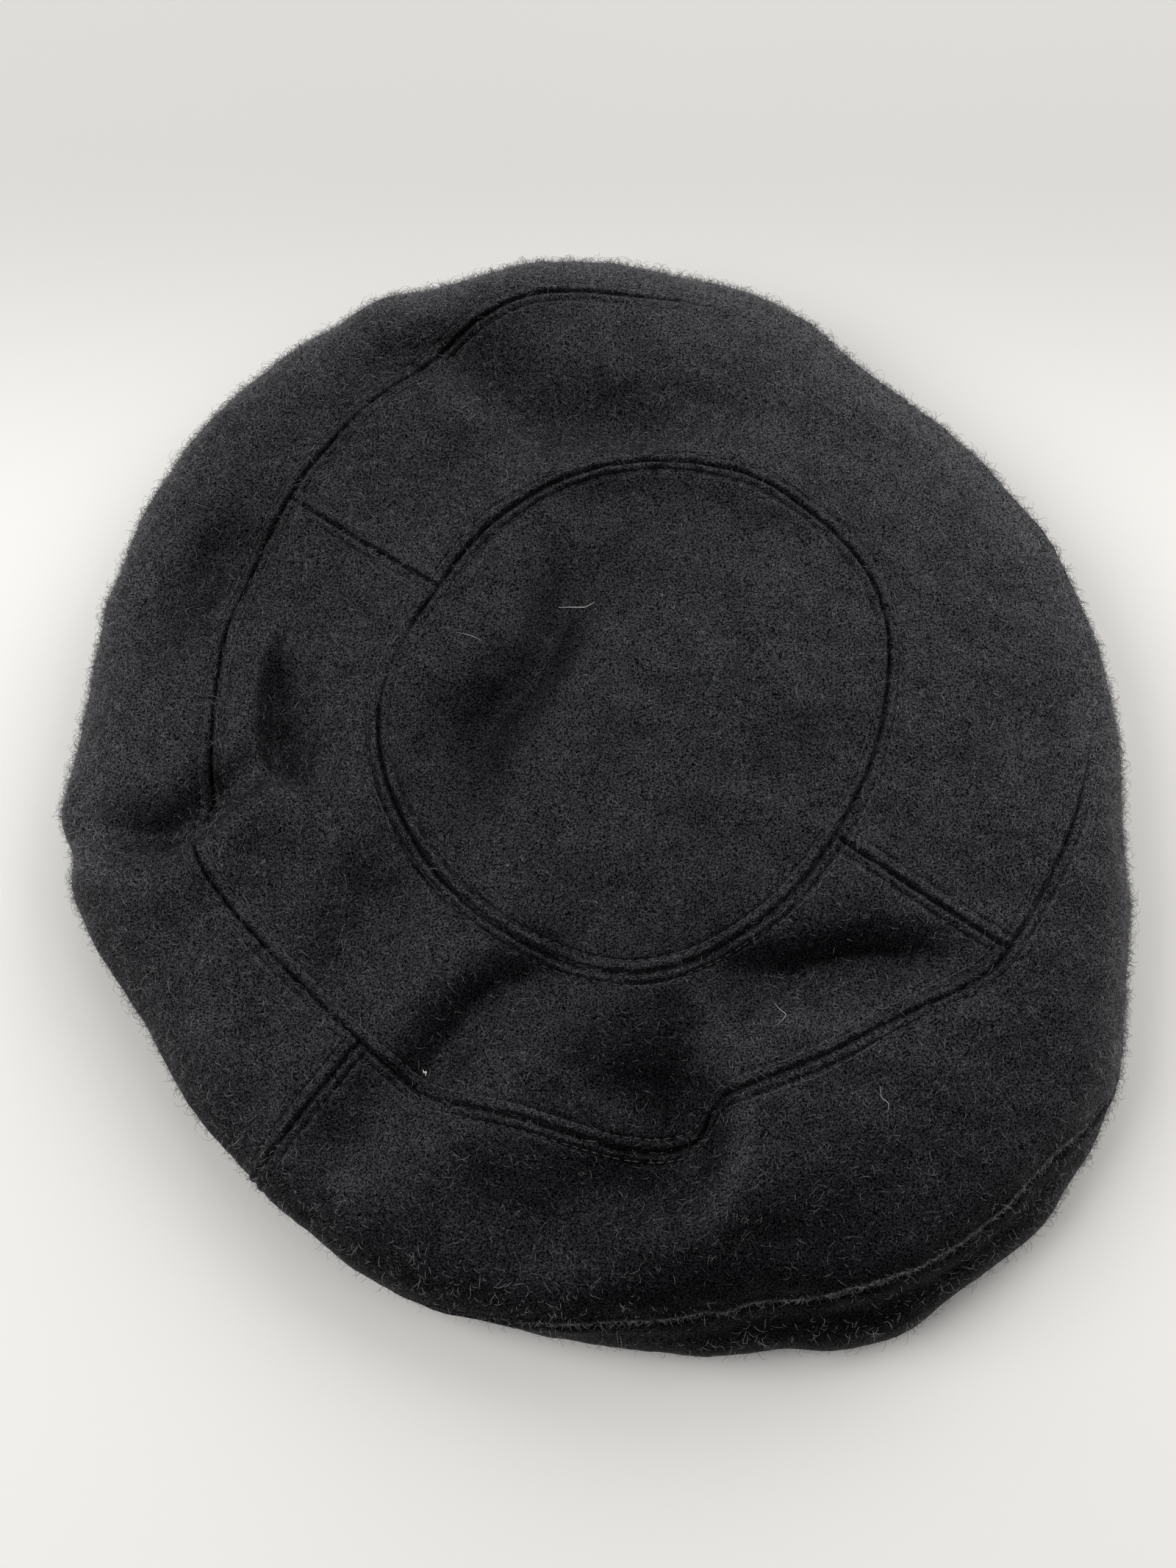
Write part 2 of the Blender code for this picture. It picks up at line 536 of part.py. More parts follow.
def build():
    clear_scene()
    collection = bpy.data.collections.new("beret")
    bpy.context.scene.collection.children.link(collection)
    wool = material("wool", (0.022, 0.022, 0.024), 0.95, 0.4)
    satin = material("lining", (0.016, 0.016, 0.018), 0.42)
    ribbon = material("ribbon", (0.014, 0.014, 0.015), 0.7)
    lines = fold_lines()
    shell = (0, CLOTH)
    inside = (CLOTH + LAYER_GAP, LINING)
    inner, outer, under = snapped(INNER_SEAM_ANGLE), snapped(OUTER_SEAM_ANGLE), snapped(UNDER_SEAM_ANGLE)

    inner_rows = np.linspace(1, 2, INNER_ROWS + 1)
    outer_rows = np.linspace(2, 3, OUTER_ROWS + 1)
    under_rows = 3 + np.linspace(0, 1, UNDER_ROWS + 1) ** UNDER_CROWDING
    crown_rows = np.concatenate([inner_rows, outer_rows[1:]])
    pieces = [
        disc("tip_disc", shell, wool, collection, lines),
        disc("lining_tip", inside, satin, collection, lines),
    ]
    for name, start, rows, layer, cloth in (
        ("inner_ring_front", inner, inner_rows, shell, wool),
        ("inner_ring_back", inner + 180, inner_rows, shell, wool),
        ("outer_ring_right", outer, outer_rows, shell, wool),
        ("outer_ring_left", outer + 180, outer_rows, shell, wool),
        ("under_ring_back", under, under_rows, shell, wool),
        ("under_ring_front", under + 180, under_rows, shell, wool),
        ("lining_crown_front", inner, crown_rows, inside, satin),
        ("lining_crown_back", inner + 180, crown_rows, inside, satin),
        ("lining_under_back", under, under_rows, inside, satin),
        ("lining_under_front", under + 180, under_rows, inside, satin),
    ):
        pieces.append(half_ring(name, start, rows, layer, cloth, collection, lines))

    pieces.append(band("headband", 0, HEADBAND_CLOTH, 0, HEADBAND_HEIGHT, wool, collection))
    pieces.append(
        band("sweatband", HEADBAND_CLOTH + LAYER_GAP, SWEATBAND, SWEATBAND_LIFT, HEADBAND_HEIGHT, ribbon, collection)
    )
    stand_on_floor(pieces)


build()
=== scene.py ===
"""A soft wool beret resting crown up: the looks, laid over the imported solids.

The shell is one smooth slumped surface, a polar map from an angle and a reach to a point of the cloth's
outer face. Reach counts seams from the middle: 0 is the centre, 1 the tip seam, 2 the outer seam, 3 the edge
seam and 4 the seam at the headband. Every panel is a fine patch of that map with sewn seams pressed into it.
Angles are in degrees and turn left from +X, seen from above. Metres, +Z up.
"""

import math

import bpy
import numpy as np
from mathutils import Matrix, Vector


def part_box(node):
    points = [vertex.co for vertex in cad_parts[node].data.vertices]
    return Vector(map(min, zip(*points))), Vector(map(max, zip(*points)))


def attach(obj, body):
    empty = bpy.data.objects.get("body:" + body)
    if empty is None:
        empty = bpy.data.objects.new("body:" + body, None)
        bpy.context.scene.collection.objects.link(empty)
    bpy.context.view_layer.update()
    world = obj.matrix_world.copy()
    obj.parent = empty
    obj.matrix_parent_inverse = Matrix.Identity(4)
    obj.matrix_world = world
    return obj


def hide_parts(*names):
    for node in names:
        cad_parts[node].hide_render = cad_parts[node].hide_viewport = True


MM = 0.001

# ---- the cut and the slump: the same sizes as the solids have ----
CLOTH = 1.8 * MM
LINING = 0.6 * MM
HEADBAND_CLOTH = 2.6 * MM  # cloth turned double
SWEATBAND = 1.1 * MM
LAYER_GAP = 0.4 * MM  # room between the shell and the lining
SEAM_GAP = 0.5 * MM  # room between two pieces where they are sewn

TIP_RADIUS = 0.068
INNER_RING_WIDTH = 0.047
OVERHANG = 0.040  # how far the rim lies outside the outer seam, seen from above
OUTER_RING_WIDTH = 0.058  # measured over the cloth, from the outer seam to the edge seam

HEAD_LENGTH = 0.202
HEAD_WIDTH = 0.176
HEADBAND_HEIGHT = 0.019
SWEATBAND_LIFT = 0.0012  # the ribbon ends this far above the headband's lower edge

CROWN_RISE = 0.007  # how far the middle stands above the outer seam
SHOULDER_HEIGHT = 0.0370  # height of the outer seam
RIM_HEIGHT = 0.013  # height of the widest point
HEEL = 0.012  # how far inside the rim the cloth turns level below
FLOOR_CLEARANCE = 0.0008  # height of the smooth face's lowest point
DROOP = 0.010  # how far the outer seam hangs where it reaches the rim
DROOP_POWER = 8  # how late the cloth inside the seam starts to hang
UNDER_BEND = (0.45, 0.85)  # the two middle points of the under ring's curve, as shares of its way in
UNDER_LIFT = 0.45  # and the second one's share of the way up; the first lies level
FULLEST_RING = 0.9  # the outer ring never takes more than this share of the roll

INNER_SEAM = 146.25  # the two joins of the inner ring lie here and half a turn on
OUTER_SEAM = 230.625
UNDER_SEAM = 326.25
HEAD_TURN = 50.0  # direction of the head opening's long axis
HEAD_SHIFT = (-0.008, -0.010)  # the opening's centre, from the crown's centre

# the slumped outline: angle, then a factor on the size that is named
TIP_SHAPE = (
    (0, 0.966), (30, 1.09), (60, 1.09), (90, 1.053), (120, 0.98), (150, 0.935),
    (180, 1.0), (210, 0.99), (240, 0.995), (270, 1.02), (300, 0.95), (330, 0.905),
)
OUTER_SEAM_SHAPE = (
    (5, 1.09), (12, 1.108), (22, 1.11), (32, 1.097), (42, 1.085), (52, 1.081), (60, 1.098), (67, 1.129),
    (74, 1.125), (81, 1.10), (88, 1.09), (95, 1.106), (103, 1.117), (111, 1.09), (118, 1.053), (126, 1.03),
    (135, 1.008), (144, 0.995), (155, 0.986), (166, 0.983), (177, 0.978), (187, 0.987), (192, 1.0),
    (196, 1.047), (200, 1.045), (205, 1.025), (212, 0.996), (219, 0.976), (229, 0.968), (237, 0.977),
    (242, 0.983), (247, 0.967), (254, 0.953), (262, 0.965), (269, 0.985), (274, 0.99), (278, 0.97),
    (281, 0.905), (286, 0.885), (293, 0.883), (300, 0.889), (308, 0.902), (313, 0.925), (318, 0.959),
    (323, 0.988), (329, 0.994), (337, 1.006), (346, 1.029), (352, 1.047), (358, 1.064),
)
OVERHANG_SHAPE = (
    (0, 0.255), (10, 0.103), (20, 0.05), (30, 0.04), (40, 0.063), (50, 0.07), (60, 0.07), (66, 0.116),
    (70, 0.185), (75, 0.259), (80, 0.35), (85, 0.405), (90, 0.425), (100, 0.435), (110, 0.52), (120, 0.78),
    (130, 0.88), (140, 0.977), (150, 1.025), (160, 1.007), (170, 0.992), (180, 1.015), (190, 1.09),
    (196, 0.94), (202, 0.938), (210, 0.95), (220, 1.063), (230, 1.12), (240, 1.15), (250, 1.255),
    (260, 1.248), (270, 1.23), (275, 1.257), (278, 1.336), (281, 1.555), (284, 1.648), (290, 1.765),
    (300, 1.705), (310, 1.588), (320, 1.248), (330, 0.92), (340, 0.638), (350, 0.387),
)
OUTER_RING_SHAPE = (
    (0, 1.0), (180, 1.0), (240, 1.01), (250, 1.0), (256, 0.955), (262, 0.868), (266, 0.811), (270, 0.77),
    (274, 0.748), (276.7, 0.75), (278, 0.785), (279.5, 0.833), (281.2, 0.898), (283, 0.935), (286.4, 0.967),
    (290, 0.988), (297, 1.006), (302, 1.012), (305.3, 0.993), (310.2, 0.943), (314.5, 0.895), (321, 0.92),
    (328, 1.02), (336, 1.06), (347, 1.03),
)
SHOULDER_SHAPE = (
    (0, 1.03), (45, 0.97), (90, 0.97), (135, 0.95), (180, 0.93), (225, 0.90), (270, 0.96), (310, 1.07),
)
RIM_HEIGHT_SHAPE = (
    (0, 1.10), (60, 1.25), (100, 1.15), (150, 1.0), (200, 0.95), (250, 0.9), (290, 0.62), (320, 0.75),
)
DROOP_SHAPE = (
    (0, 0.7), (10, 1.0), (30, 1.0), (45, 1.0), (60, 1.0), (70, 0.9), (80, 0.6), (92, 0.2), (106, 0), (180, 0),
    (250, 0), (325, 0), (340, 0.1), (350, 0.35),
)

# ---- folds: (height, width) on the left and on the right of a line, the rounding of the crease along it, all
# ---- in millimetres, and the line's stations of (angle, reach, strength) ----
FOLDS = (
    # the long valley in the tip: a narrow line at the back that widens towards its front end
    ((-8.0, 5.5), (-8.0, 6), 1.2, (
        (119, 0.61, 0.2), (125, 0.55, 0.7), (134, 0.49, 1), (150, 0.455, 1), (168, 0.47, 1),
        (181, 0.54, 1), (190, 0.62, 0.7), (199, 0.70, 0.2),
    )),
    ((-6.0, 11), (-6.0, 13), 3, (
        (176, 0.53, 0.4), (187, 0.60, 1), (199, 0.69, 1), (209, 0.77, 0.8), (219, 0.82, 0.3),
    )),
    # the back of the tip seam stands up as a low ridge
    ((1.4, 9), (-1.5, 14), 5, ((118, 0.97, 0.3), (91, 0.93, 1), (70, 0.91, 1), (45, 0.92, 0.3))),
    # small dents of the tip
    ((-1.8, 8), (-1.8, 8), 3, ((107, 0.58, 1), (117, 0.66, 1))),
    ((-1.6, 7), (-1.6, 7), 3, ((101, 0.78, 1), (92, 0.80, 1))),
    ((-1.8, 9), (-1.8, 9), 3, ((337, 0.60, 1), (341, 0.72, 1))),
    # the back of the inner ring sags in a long arc
    ((-7.0, 11), (-7.0, 8), 2.5, (
        (118, 1.92, 0.5), (113, 1.78, 1), (110, 1.60, 1), (106, 1.42, 1), (99, 1.28, 1), (90, 1.26, 1),
        (80, 1.32, 0.5),
    )),
    # dips outside the seam, back left
    ((-4.5, 7), (-4.5, 7), 2, ((117, 2.10, 0.7), (123, 2.16, 1))),
    ((-4.5, 7), (-4.5, 8), 2, ((124, 2.36, 0.6), (130, 2.25, 1), (136, 2.16, 0.6))),
    ((-4.5, 9), (-4.5, 9), 3, ((149, 2.20, 0.6), (157, 2.25, 1), (163, 2.32, 1), (168, 2.50, 0.5))),
    # two soft dents of the inner ring, left
    ((-2.2, 10), (-2.2, 10), 3, ((134, 1.50, 1), (139, 1.60, 1))),
    ((-2.2, 10), (-2.2, 10), 3, ((155, 1.50, 1), (159, 1.62, 1))),
    # the pocket that drops behind the seam on the left
    ((-9.0, 11), (2.5, 7), 2.5, (
        (162, 1.66, 0), (168, 1.71, 0.3), (174, 1.71, 0.9), (180, 1.69, 1), (186, 1.66, 1),
        (190, 1.60, 0.7),
    )),
    # the pinched fold that runs out to the rim on the left, and the roll in front of it
    ((-7.0, 4), (-7.0, 7), 1.0, (
        (184, 1.26, 0), (186, 1.48, 0.2), (188, 1.66, 0.4), (190, 1.83, 0.65), (192, 1.97, 0.9),
        (194, 2.14, 1), (194.5, 2.30, 1), (193.5, 2.50, 0.9), (192, 2.68, 0.6), (191, 2.90, 0.25),
    )),
    ((3.0, 9), (3.0, 6), 2, (
        (189, 1.36, 0.3), (192, 1.62, 1), (196, 1.86, 1), (199.5, 2.08, 1), (200, 2.30, 1),
        (198, 2.55, 0.9), (196, 2.80, 0.6),
    )),
    # a dent between the tip and the front left, and one on the seam
    ((-2.8, 9), (-2.8, 9), 3, ((213, 1.44, 0.7), (217, 1.56, 1), (220, 1.66, 0.7))),
    ((-2.4, 6), (-2.4, 6), 2, ((221, 1.86, 1), (223, 1.96, 1))),
    # the crease from the tip towards the front join
    ((-7.0, 8), (-7.0, 5.5), 1.2, (
        (252, 1.09, 0.5), (247, 1.22, 1), (244, 1.32, 1), (242, 1.45, 1), (241, 1.60, 1), (240.5, 1.77, 1),
        (240, 1.95, 0.6),
    )),
    # soft dents of the outer ring, front left
    ((-3.5, 9), (-3.5, 9), 3, ((235, 2.24, 1), (236, 2.44, 1))),
    ((-2.2, 11), (-2.2, 11), 3, ((254, 2.40, 1), (259, 2.50, 1))),
    # the deep valley in front, steep against the bulge on its right
    ((-14.5, 7.5), (-14.5, 15), 1.5, (
        (271, 1.02, 0.1), (274, 1.26, 0.2), (276, 1.50, 0.5), (276, 1.75, 0.85), (276, 1.98, 1),
        (275, 2.10, 1), (272, 2.18, 1), (268, 2.23, 0.9), (264.5, 2.32, 0.6), (260, 2.44, 0.2),
    )),
    # faint hollows beside the seams and in the tip
    ((-3.5, 8), (-3.5, 8), 3, ((213, 1.18, 0.4), (219, 1.27, 1), (221, 1.42, 0.8), (221, 1.60, 0.3))),
    ((-2.5, 9), (-2.5, 9), 3, ((128, 1.75, 0.3), (123, 1.50, 1), (112, 1.36, 0.8), (100, 1.28, 0.2))),
    ((-3.5, 10), (-3.5, 10), 3, ((162, 2.45, 0.3), (160.2, 2.28, 1), (157, 2.03, 1), (155, 1.85, 0.4))),
    ((-3.5, 7), (-3.5, 7), 3, ((264, 1.60, 0.4), (268, 1.75, 1), (270, 1.90, 0.4))),
    ((-2.5, 11), (-2.5, 11), 3, ((120, 0.62, 0.5), (105, 0.60, 1), (90, 0.58, 1), (75, 0.60, 0.5))),
    # the bulge
    ((2.5, 18), (2.5, 12), 4, (
        (285, 1.25, 0.2), (287, 1.60, 0.8), (290, 1.95, 1), (290, 2.15, 1), (284, 2.33, 1),
        (274, 2.42, 0.7), (266, 2.52, 0.3),
    )),
    # the arched crease below the front right join
    ((-9.2, 6), (-9.2, 10.5), 1.2, (
        (290, 1.16, 0.4), (297, 1.36, 0.9), (304, 1.46, 1), (310, 1.56, 1), (315, 1.67, 0.85),
        (318.5, 1.79, 0.6), (320.5, 1.89, 0.35), (321.5, 1.97, 0.1),
    )),
    # the ridge along the outer seam, front right
    ((1.4, 8), (1.4, 10), 3, (
        (290, 1.55, 0.5), (295, 1.68, 1), (303, 1.78, 1), (310, 1.85, 1), (318, 1.95, 0.3),
    )),
    # the short hollow between the bulge and the arch
    ((-4.0, 5), (-4.0, 5), 1.5, ((291, 1.26, 0.4), (288, 1.42, 1), (287, 1.58, 1), (289, 1.72, 0.3))),
    # the crest where the front turns down, and the hollow below it
    ((6.5, 12), (6.5, 3.5), 1.2, (
        (257, 2.97, 0.2), (262, 2.92, 0.6), (266, 2.88, 0.8), (270, 2.84, 0.9), (276.7, 2.79, 1),
        (283, 2.795, 1), (290, 2.78, 1), (297, 2.79, 1), (305, 2.81, 1), (311, 2.81, 0.7),
        (318, 2.83, 0.2),
    )),
    ((-8.0, 5), (-8.0, 4.5), 1.5, (
        (264, 2.97, 0.3), (270, 2.925, 0.8), (276.7, 2.88, 1), (290, 2.87, 1), (300, 2.885, 1),
        (310, 2.89, 0.6), (318, 2.91, 0.2),
    )),
)
FOLD_FALL = 1.5  # how fast the flank of a fold levels out
FOLD_LIMIT = 12.0 * MM  # folds that meet never sink further than this
FOLD_REACH = 3  # widths away from its line where a fold has gone
LINE_STEPS = 4  # how finely a fold's line is divided between two stations
LINE_BLEND = 3 * MM  # how far apart two stretches of a line still act together

# ---- painted shade on the nap in folds, in front and below the edge seam, and a painted rim highlight -----
CREASE_SHADE_DEPTH = 10.5 * MM  # a fold this deep gets the darkest painted shade
PAINTED_SHADE_SHARE = 0.6  # how much of the tone the painted shade takes away
CREASE_SHADE_POWER = 0.9  # how soon the painted shade follows a shallow fold
BELOW_PAINTED_SHADE = (0.385, 1.1)  # painted shade below the edge seam, at the back and in front
BELOW_FRONT = ((235, 0), (262, 1), (305, 1), (338, 0))  # where the front lies, below the edge seam
BELOW_REACH = (3, 3.01)  # the tone changes over this much cloth
RIM_PAINTED_HIGHLIGHT = 2.0  # how much paler the rim is painted where the cloth turns over it: a painted highlight
RIM_START = 0.84  # where that starts, as a share of the way from the centre to the rim
RIM_POWER = 1.5
RIM_FACING = (0.1, 0.6)  # it fades out where the cloth faces the front: the normal's share of -Y
FRONT_PAINTED_SHADE = 0.85  # how much painted shade the front gets, where the cloth faces away from the lamps
FRONT_FACING = (0.12, 0.62)  # that comes with facing the front, in the same way
FRONT_REACH = (2.35, 2.6)  # or with the reach, at the angles where the front rolls over
FRONT_SHAPE = ((240, 0), (254, 0.4), (262, 1), (288, 1), (298, 0.5), (312, 0.2), (325, 0))

PROFILE_STEPS = 60  # places on each of the three curves of a section

# ---- sewing -----------------------------------------------
GROOVE = (-1.6 * MM, 0.44 * MM)  # depth and width of the line where two panels meet
SWELL = (0.38 * MM, 1.5 * MM, 0.8 * MM)  # height, distance from the seam and width of the cloth beside it
FURROW = (-0.46 * MM, 3.1 * MM, 0.38 * MM)  # the same for the line that the topstitching pulls in
PULL_WAVES = ((9 * MM, 0.2, 11), (3.4 * MM, 0.3, 13))  # how unevenly the seams are pulled in
PULL_RANGE = (0.45, 1.7)  # the least and the most of it
# how deep the tip seam is pulled in, by angle: it nearly fades out in the pocket on the left
TIP_SEAM_PULL = ((0, 1), (148, 1), (154, 0.8), (160, 0.3), (166, 0.2), (172, 0.5), (178, 1), (270, 1))
HUNG_SEAM = 0.9  # how much flatter the outer seam lies where it hangs over the rim
HUNG_DROOP = 0.625  # it lies flattest from this share of the droop on
PRESSED_JOIN = 0.15  # how much is left of the relief of the outer ring's join at the back, which lies flat
EDGE_SEAM = 0.8  # how much of a seam's relief the edge seam has
# the cloth's own unevenness: wavelength, height and seed
UNEVEN = ((30 * MM, 0.35 * MM, 3), (12 * MM, 0.12 * MM, 5), (4.5 * MM, 0.045 * MM, 7))
UNEVEN_LINING = (22 * MM, 0.25 * MM, 17)
STITCH_PITCH = 2.8 * MM
STITCH_LENGTH = 2.15 * MM
STITCH_START = 20  # where the rows round the beret start
FIRST_STITCH = 0.3  # where the first stitch of a row starts, as a share of the pitch
STITCH_JITTER = 0.08  # how unevenly the stitches start, as a share of their pitch
THREAD_RADIUS = 0.13 * MM
THREAD_TAPER = np.array([0.55, 0.9, 1, 1, 0.9, 0.55])  # along one stitch
ARCH = (2.6, 1.3)  # a stitch rises this many radii of the thread, from this many below the cloth's face
ARCH_POWER = 0.6  # how square that arch is: 1 is round
JOIN_PLACES = 160  # places along a row beside a join

BAND_STITCHES = 2 * FURROW[1]  # height of the stitching on the headband
BAND_SECTION = (1.1 * MM, 0.45 * MM)  # corner radius and step of the headband's section
BAND_COLUMNS = 1440  # places round the head opening
BAND_WAVE = (0.12 * MM, 7 * MM, 3 * MM)  # the headband's unevenness: height, then rates along and up
RIB_PITCH = 1.1 * MM  # the sweatband's ribs
RIB_DEPTH = 0.14 * MM
SELVEDGE = 1.0 * MM  # the ribs fade out towards the ribbon's edges
RIBBON_DROP = 0.2 * MM  # the ribbon ends this far below the headband's upper edge
RIBBON_SECTION = (0.4 * MM, 0.8 * MM)
RIBBON_COLUMNS = 4400  # eight or nine for every rib

FUZZ_COUNT, CURL_COUNT, FRINGE_COUNT = 9000, 6000, 1800
FIBRE = np.array([0.036, 0.034, 0.030, 0.014]) * MM  # a fibre's radius from its root to its tip
CURL = np.array([0.03, 0.034, 0.034, 0.034, 0.028, 0.014]) * MM
HALO_RADIUS = 1.4  # the fibres of the halo are this many times as thick
HAIR_STEPS = 16  # places along a stray hair
HAIR_LIFT = 0.15 * MM  # how far it lies above the cloth
HAIR_END = 0.35  # how blunt its ends are, in radians of a sine
FLOOR_GAP = 0.1 * MM  # no hair is bent lower than this

# ---- how finely the cloth is divided ----------------------
NEAR_SEAM = np.array([0, 0.18, 0.36, 0.55, 0.8, 1.1, 1.5, 1.9, 2.3, 2.6, 2.9, 3.2, 3.5, 4.0, 4.7]) * MM
WIDE_STEP = 0.95 * MM
COLUMN_STEP = 0.42
SOLID_STEP = 5.625  # the columns of the solids lie this far apart
NORMAL_STEPS = (0.006, 0.15)  # steps of reach and angle for a single normal
UNDER_ROWS = 30
LINING_COLUMNS, LINING_ROWS = 121, (45, 22)
UNDER_RING_WIDTH = 0.06  # about as wide as the under ring is
TIP_CELLS, LINING_CELLS = 180, 60  # along each side of the square grid that becomes a disc
CORNER_PLACES = 7  # round each corner of a strip's section
OVERLAP = (0.2, 0.004)  # a panel is worked out this much further round and across, for its normals
NEAR_JOIN = np.array([0, 0.1, 0.2, 0.32, 0.46, 0.62, 0.8, 1.0, 1.2, 1.4, 1.6, 1.8, 2.0, 2.3, 2.7, 3.2])


# ---- the surface ------------------------------------------
def ramp(value, start, end):
    """From 0 at the start to 1 at the end, and level outside."""
    return np.clip((value - start) / (end - start), 0, 1)


def hermite(values, slopes, i, t, span=1):
    """Smooth value at a share t of the way from station i to the next one."""
    start = values[i] * (1 + 2 * t) * (1 - t) ** 2 + slopes[i] * span * t * (1 - t) ** 2
    end = values[i + 1] * t * t * (3 - 2 * t) - slopes[i + 1] * span * t * t * (1 - t)
    return start + end


def around(stations, angle):
    """Smooth value at an angle, through stations of (angle, value) that close on themselves."""
    knots, values = np.array(stations, float).T
    knots = np.concatenate([knots - 360, knots, knots + 360])
    values = np.tile(values, 3)
    angle = np.asarray(angle, float) % 360
    i = np.searchsorted(knots, angle, side="right") - 1
    span = knots[i + 1] - knots[i]
    return hermite(values, np.gradient(values, knots), i, (angle - knots[i]) / span, span)


def smooth_line(stations, count):
    """Each column of a row of stations, at evenly spaced places on a curve through them."""
    at = np.linspace(0, len(stations) - 1, count)
    i = np.minimum(at.astype(int), len(stations) - 2)
    return [hermite(values, np.gradient(values), i, at - i) for values in np.array(stations, float).T]


def unit(vectors):
    return vectors / np.maximum(np.linalg.norm(vectors, axis=-1, keepdims=True), 1e-12)


def distances(points):
    """How far each point of a line lies from its first one, along the line."""
    return np.concatenate([[0], np.cumsum(np.linalg.norm(np.diff(points, axis=0), axis=1))])


def tip_seam_radius(angle):
    return TIP_RADIUS * around(TIP_SHAPE, angle)


def outer_seam_radius(angle):
    return (TIP_RADIUS + INNER_RING_WIDTH) * around(OUTER_SEAM_SHAPE, angle)


def inner_ring_width(angle):
    return outer_seam_radius(angle) - tip_seam_radius(angle)


def rim_radius(angle):
    return outer_seam_radius(angle) + OVERHANG * around(OVERHANG_SHAPE, angle)


def outer_ring_width(angle):
    return OUTER_RING_WIDTH * around(OUTER_RING_SHAPE, angle)


def head_radius(angle):
    """Distance from the crown's centre to the outside of the headband, along an angle."""
    turn = np.radians(np.asarray(angle, float) - HEAD_TURN)
    shift = math.radians(-HEAD_TURN)
    sx = HEAD_SHIFT[0] * math.cos(shift) - HEAD_SHIFT[1] * math.sin(shift)
    sy = HEAD_SHIFT[0] * math.sin(shift) + HEAD_SHIFT[1] * math.cos(shift)
    a, b = HEAD_LENGTH / 2, HEAD_WIDTH / 2
    ux, uy = np.cos(turn) / a, np.sin(turn) / b
    cx, cy = -sx / a, -sy / b
    along = ux * ux + uy * uy
    across = ux * cx + uy * cy
    return (-across + np.sqrt(across ** 2 - along * (cx * cx + cy * cy - 1))) / along


def droop(angle):
    return DROOP * around(DROOP_SHAPE, angle)


def roll(angle):
    """The cloth's sections at angles, from the outer seam over the rim and under to the headband."""
    seam, rim, head = (values[:, None] for values in (
        outer_seam_radius(angle), rim_radius(angle), head_radius(angle) + SEAM_GAP))
    hang = droop(angle)[:, None]
    top = SHOULDER_HEIGHT * around(SHOULDER_SHAPE, angle)[:, None] - hang
    widest = RIM_HEIGHT * around(RIM_HEIGHT_SHAPE, angle)[:, None]
    lean = DROOP_POWER * hang / seam
    begin = lean / ((top - widest) / (rim - seam) - lean)
    quarter = np.arcsin(begin) + (math.pi / 2 - np.arcsin(begin)) * np.linspace(0, 1, PROFILE_STEPS)
    over_r = seam + (rim - seam) * (np.sin(quarter) - begin) / (1 - begin)
    over_z = widest + (top - widest) * np.cos(quarter) / np.sqrt(1 - begin ** 2)
    quarter = np.linspace(0, math.pi / 2, PROFILE_STEPS)
    heel_r = rim - HEEL * (1 - np.cos(quarter))
    heel_z = FLOOR_CLEARANCE + (widest - FLOOR_CLEARANCE) * (1 - np.sin(quarter))
    span, climb = rim - HEEL - head, HEADBAND_HEIGHT - FLOOR_CLEARANCE
    t = np.linspace(0, 1, PROFILE_STEPS)
    near, far, end = 3 * t * (1 - t) ** 2, 3 * t * t * (1 - t), t ** 3
    under_r = rim - HEEL - span * (UNDER_BEND[0] * near + UNDER_BEND[1] * far + end)
    under_z = FLOOR_CLEARANCE + climb * (UNDER_LIFT * far + end) + 0 * rim
    radius = np.concatenate([over_r, heel_r[:, 1:], under_r[:, 1:]], 1)
    height = np.concatenate([over_z, heel_z[:, 1:], under_z[:, 1:]], 1)
    steps = np.hypot(np.diff(radius, axis=1), np.diff(height, axis=1))
    return radius, height, np.concatenate([np.zeros_like(seam), np.cumsum(steps, 1)], 1)


def plan(angle, radius):
    return radius * np.cos(np.radians(angle)), radius * np.sin(np.radians(angle))


def bearing(x, y):
    """The angle of places in plan."""
    return np.degrees(np.arctan2(y, x)) % 360


def rim_share(x, y):
    """Distance from the centre, seen from above, as a share of the rim's."""
    return np.hypot(x, y) / rim_radius(bearing(x, y))


def plan_radius(angle, reach):
    """Distance from the centre, seen from above, of a place on the top: reach 3 is the rim here."""
    rings = 0 * reach, tip_seam_radius(angle), outer_seam_radius(angle), rim_radius(angle)
    whole = np.clip(np.floor(reach).astype(int), 0, 2)
    start, end = np.choose(whole, rings[:3]), np.choose(whole, rings[1:])
    return start + (reach - whole) * (end - start)


